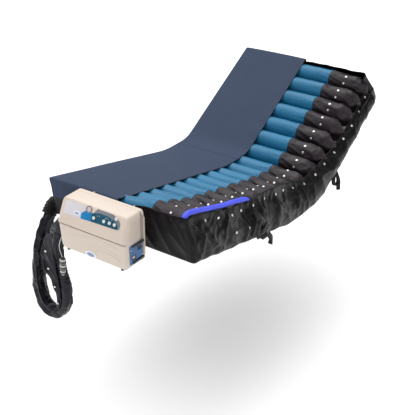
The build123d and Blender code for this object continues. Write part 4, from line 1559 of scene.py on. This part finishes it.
def make_buttons():
    """Dished button caps on the five keys; each presses with its own key."""
    profile = [(0.0086, -0.0030), (0.0086, 0.0038), (0.0081, 0.0046), (0.0074, 0.0048), (0.0052, 0.0043),
               (0.0026, 0.0040), (0.0004, 0.0039)]
    for i in range(1, 6):
        low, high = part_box(f"button_{i}")
        middle = (low + high) / 2
        on_face = middle - FACE_OUT * (middle - FACE_MIDDLE).dot(FACE_OUT)
        cap = lathe(f"button_cap_{i}", profile, on_face, FACE_OUT, button_white, 36)
        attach(cap, f"button_{i}")
        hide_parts(f"button_{i}")


make_buttons()


def make_wave_lines():
    """Faint moulded ribs that sweep over the right half of the lower front."""
    ribs = []
    for k, (start, lift) in enumerate(((-0.150, 0.112), (-0.040, 0.078), (0.010, 0.064), (0.060, 0.060))):
        t = np.linspace(0, 1, 60)
        across = start + (0.196 - start) * t
        swell = (0.013 - 0.002 * k) * np.sin(t * math.pi * 1.7 - 1.2 + k * 0.3)
        up = lift + 0.012 * t * (1 - k * 0.35) + swell
        path = [lower_point(a, b, 0.0001) for a, b in zip(across, up)]
        width = 0.0009 * np.minimum(1, np.minimum(t, 1 - t) * 8 + 0.15)
        ribs.append(tube("rib", path, width, ivory, 10))
    piece = joined("front_ribs", ribs)
    shade_smooth(piece)
    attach(piece, "seat_section")


make_wave_lines()


def make_side_details():
    """Contacts in the mains inlet and small screws on the blue plate."""
    inlet_low, inlet_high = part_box("power_inlet")
    y, z = (inlet_low.y + inlet_high.y) / 2, (inlet_low.z + inlet_high.z) / 2
    pins = []
    for dy, dz in ((-0.007, -0.002), (0.007, -0.002), (0.0, 0.003)):
        pin = box("pin", (inlet_high.x - 0.017, y + dy - 0.001, z + dz - 0.002),
                  (inlet_high.x - 0.003, y + dy + 0.001, z + dz + 0.002), steel)
        pins.append(pin)
    pins = joined("inlet_contacts", pins)
    soften(pins, 0.0004, 2)
    plate_low, plate_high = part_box("side_plate")
    screw = [(0.0034, -0.001), (0.0034, 0.0008), (0.0026, 0.0014), (0.0012, 0.0012), (0.0010, 0.0006)]
    heads = []
    for y in (plate_low.y + 0.008, plate_high.y - 0.008):
        for z in (plate_low.z + 0.024, plate_high.z - 0.024):
            heads.append(lathe("screw", screw, (plate_high.x, y, z), (1, 0, 0), steel, 18))
    heads = joined("plate_screws", heads)
    for piece, slot in ((pins, "steel"), (heads, "steel")):
        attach(piece, "seat_section")


make_side_details()


def make_collar():
    """The pump's hose collar: a tapered cuff with a band."""
    start = np.array(SLEEVE_ROUTE[0])
    direction = np.array(SLEEVE_ROUTE[1]) - start
    direction /= np.linalg.norm(direction)
    t = np.linspace(0, 1, 26)
    path = start - direction * 0.030 + direction * (t * 0.046)[:, None]
    radii = 0.0415 - 0.004 * t + 0.0012 * np.sin(t * 38) * (t > 0.3)
    cuff = tube("hose_cuff", path, radii, black_plastic, 40, caps=False)
    add_thickness(cuff, 0.0015, -1)
    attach(cuff, "seat_section")


make_collar()

# ---- finishes of the CAD pieces that show ----

CAD_FINISH = {
    "hose_connector": black_plastic, "housing_screws": steel, "hanger_bail": steel,
    "side_plate": plate_blue, "rocker_switch": black_plastic, "power_inlet": black_plastic,
    "plate_clips": black_plastic, "compressor": cast_metal, "valve_block": grey_plastic,
    "circuit_board": laminate, "pump_feet": rubber,
}
for name, cad_node in frame["nodes"].items():
    finish = CAD_FINISH.get(name, base_cloth)
    cad_node.data.materials.clear()
    cad_node.data.materials.append(finish)

# ---- floor and light ----

FLOOR_Z = -0.74


def make_stage():
    material, tree, shader = new_material("studio_floor")
    mottle = noise(tree, place_in(tree), 1.5, 2.0)
    pale = colour_mix(tree, mottle, (0.93, 0.93, 0.93), (0.95, 0.95, 0.95))
    tree.links.new(pale, shader.inputs["Base Color"])
    shader.inputs["Roughness"].default_value = 0.9
    size = 30
    floor = mesh_object("floor", [(-size, -size, FLOOR_Z), (size, -size, FLOOR_Z), (size, size, FLOOR_Z),
                                  (-size, size, FLOOR_Z)], [(0, 1, 2, 3)], material)


def overhead_light(name, direction, spread_angle, power, colour=(1, 1, 1)):
    """A very soft light from one direction, like a large ceiling softbox."""
    data = bpy.data.lights.new(name, "SUN")
    data.energy = power
    data.angle = math.radians(spread_angle)
    data.color = colour
    lamp = bpy.data.objects.new(name, data)
    lamp.rotation_mode = "QUATERNION"
    lamp.rotation_quaternion = Vector(direction).to_track_quat("-Z", "Y")
    lamp.location = (0, 0, 4)
    bpy.context.scene.collection.objects.link(lamp)


def make_world(strength):
    world = bpy.data.worlds.new("studio")
    world.use_nodes = True
    world.node_tree.nodes["Background"].inputs["Color"].default_value = (1, 1, 1, 1)
    world.node_tree.nodes["Background"].inputs["Strength"].default_value = strength
    bpy.context.scene.world = world


make_stage()
make_world(0.46)
overhead_light("ceiling", (0.20, 0.02, -1.0), 105, 2.6)
overhead_light("window", (0.45, -0.30, -0.9), 55, 1.2)
bpy.context.scene.view_settings.view_transform = "Standard"

bpy.context.view_layer.update()
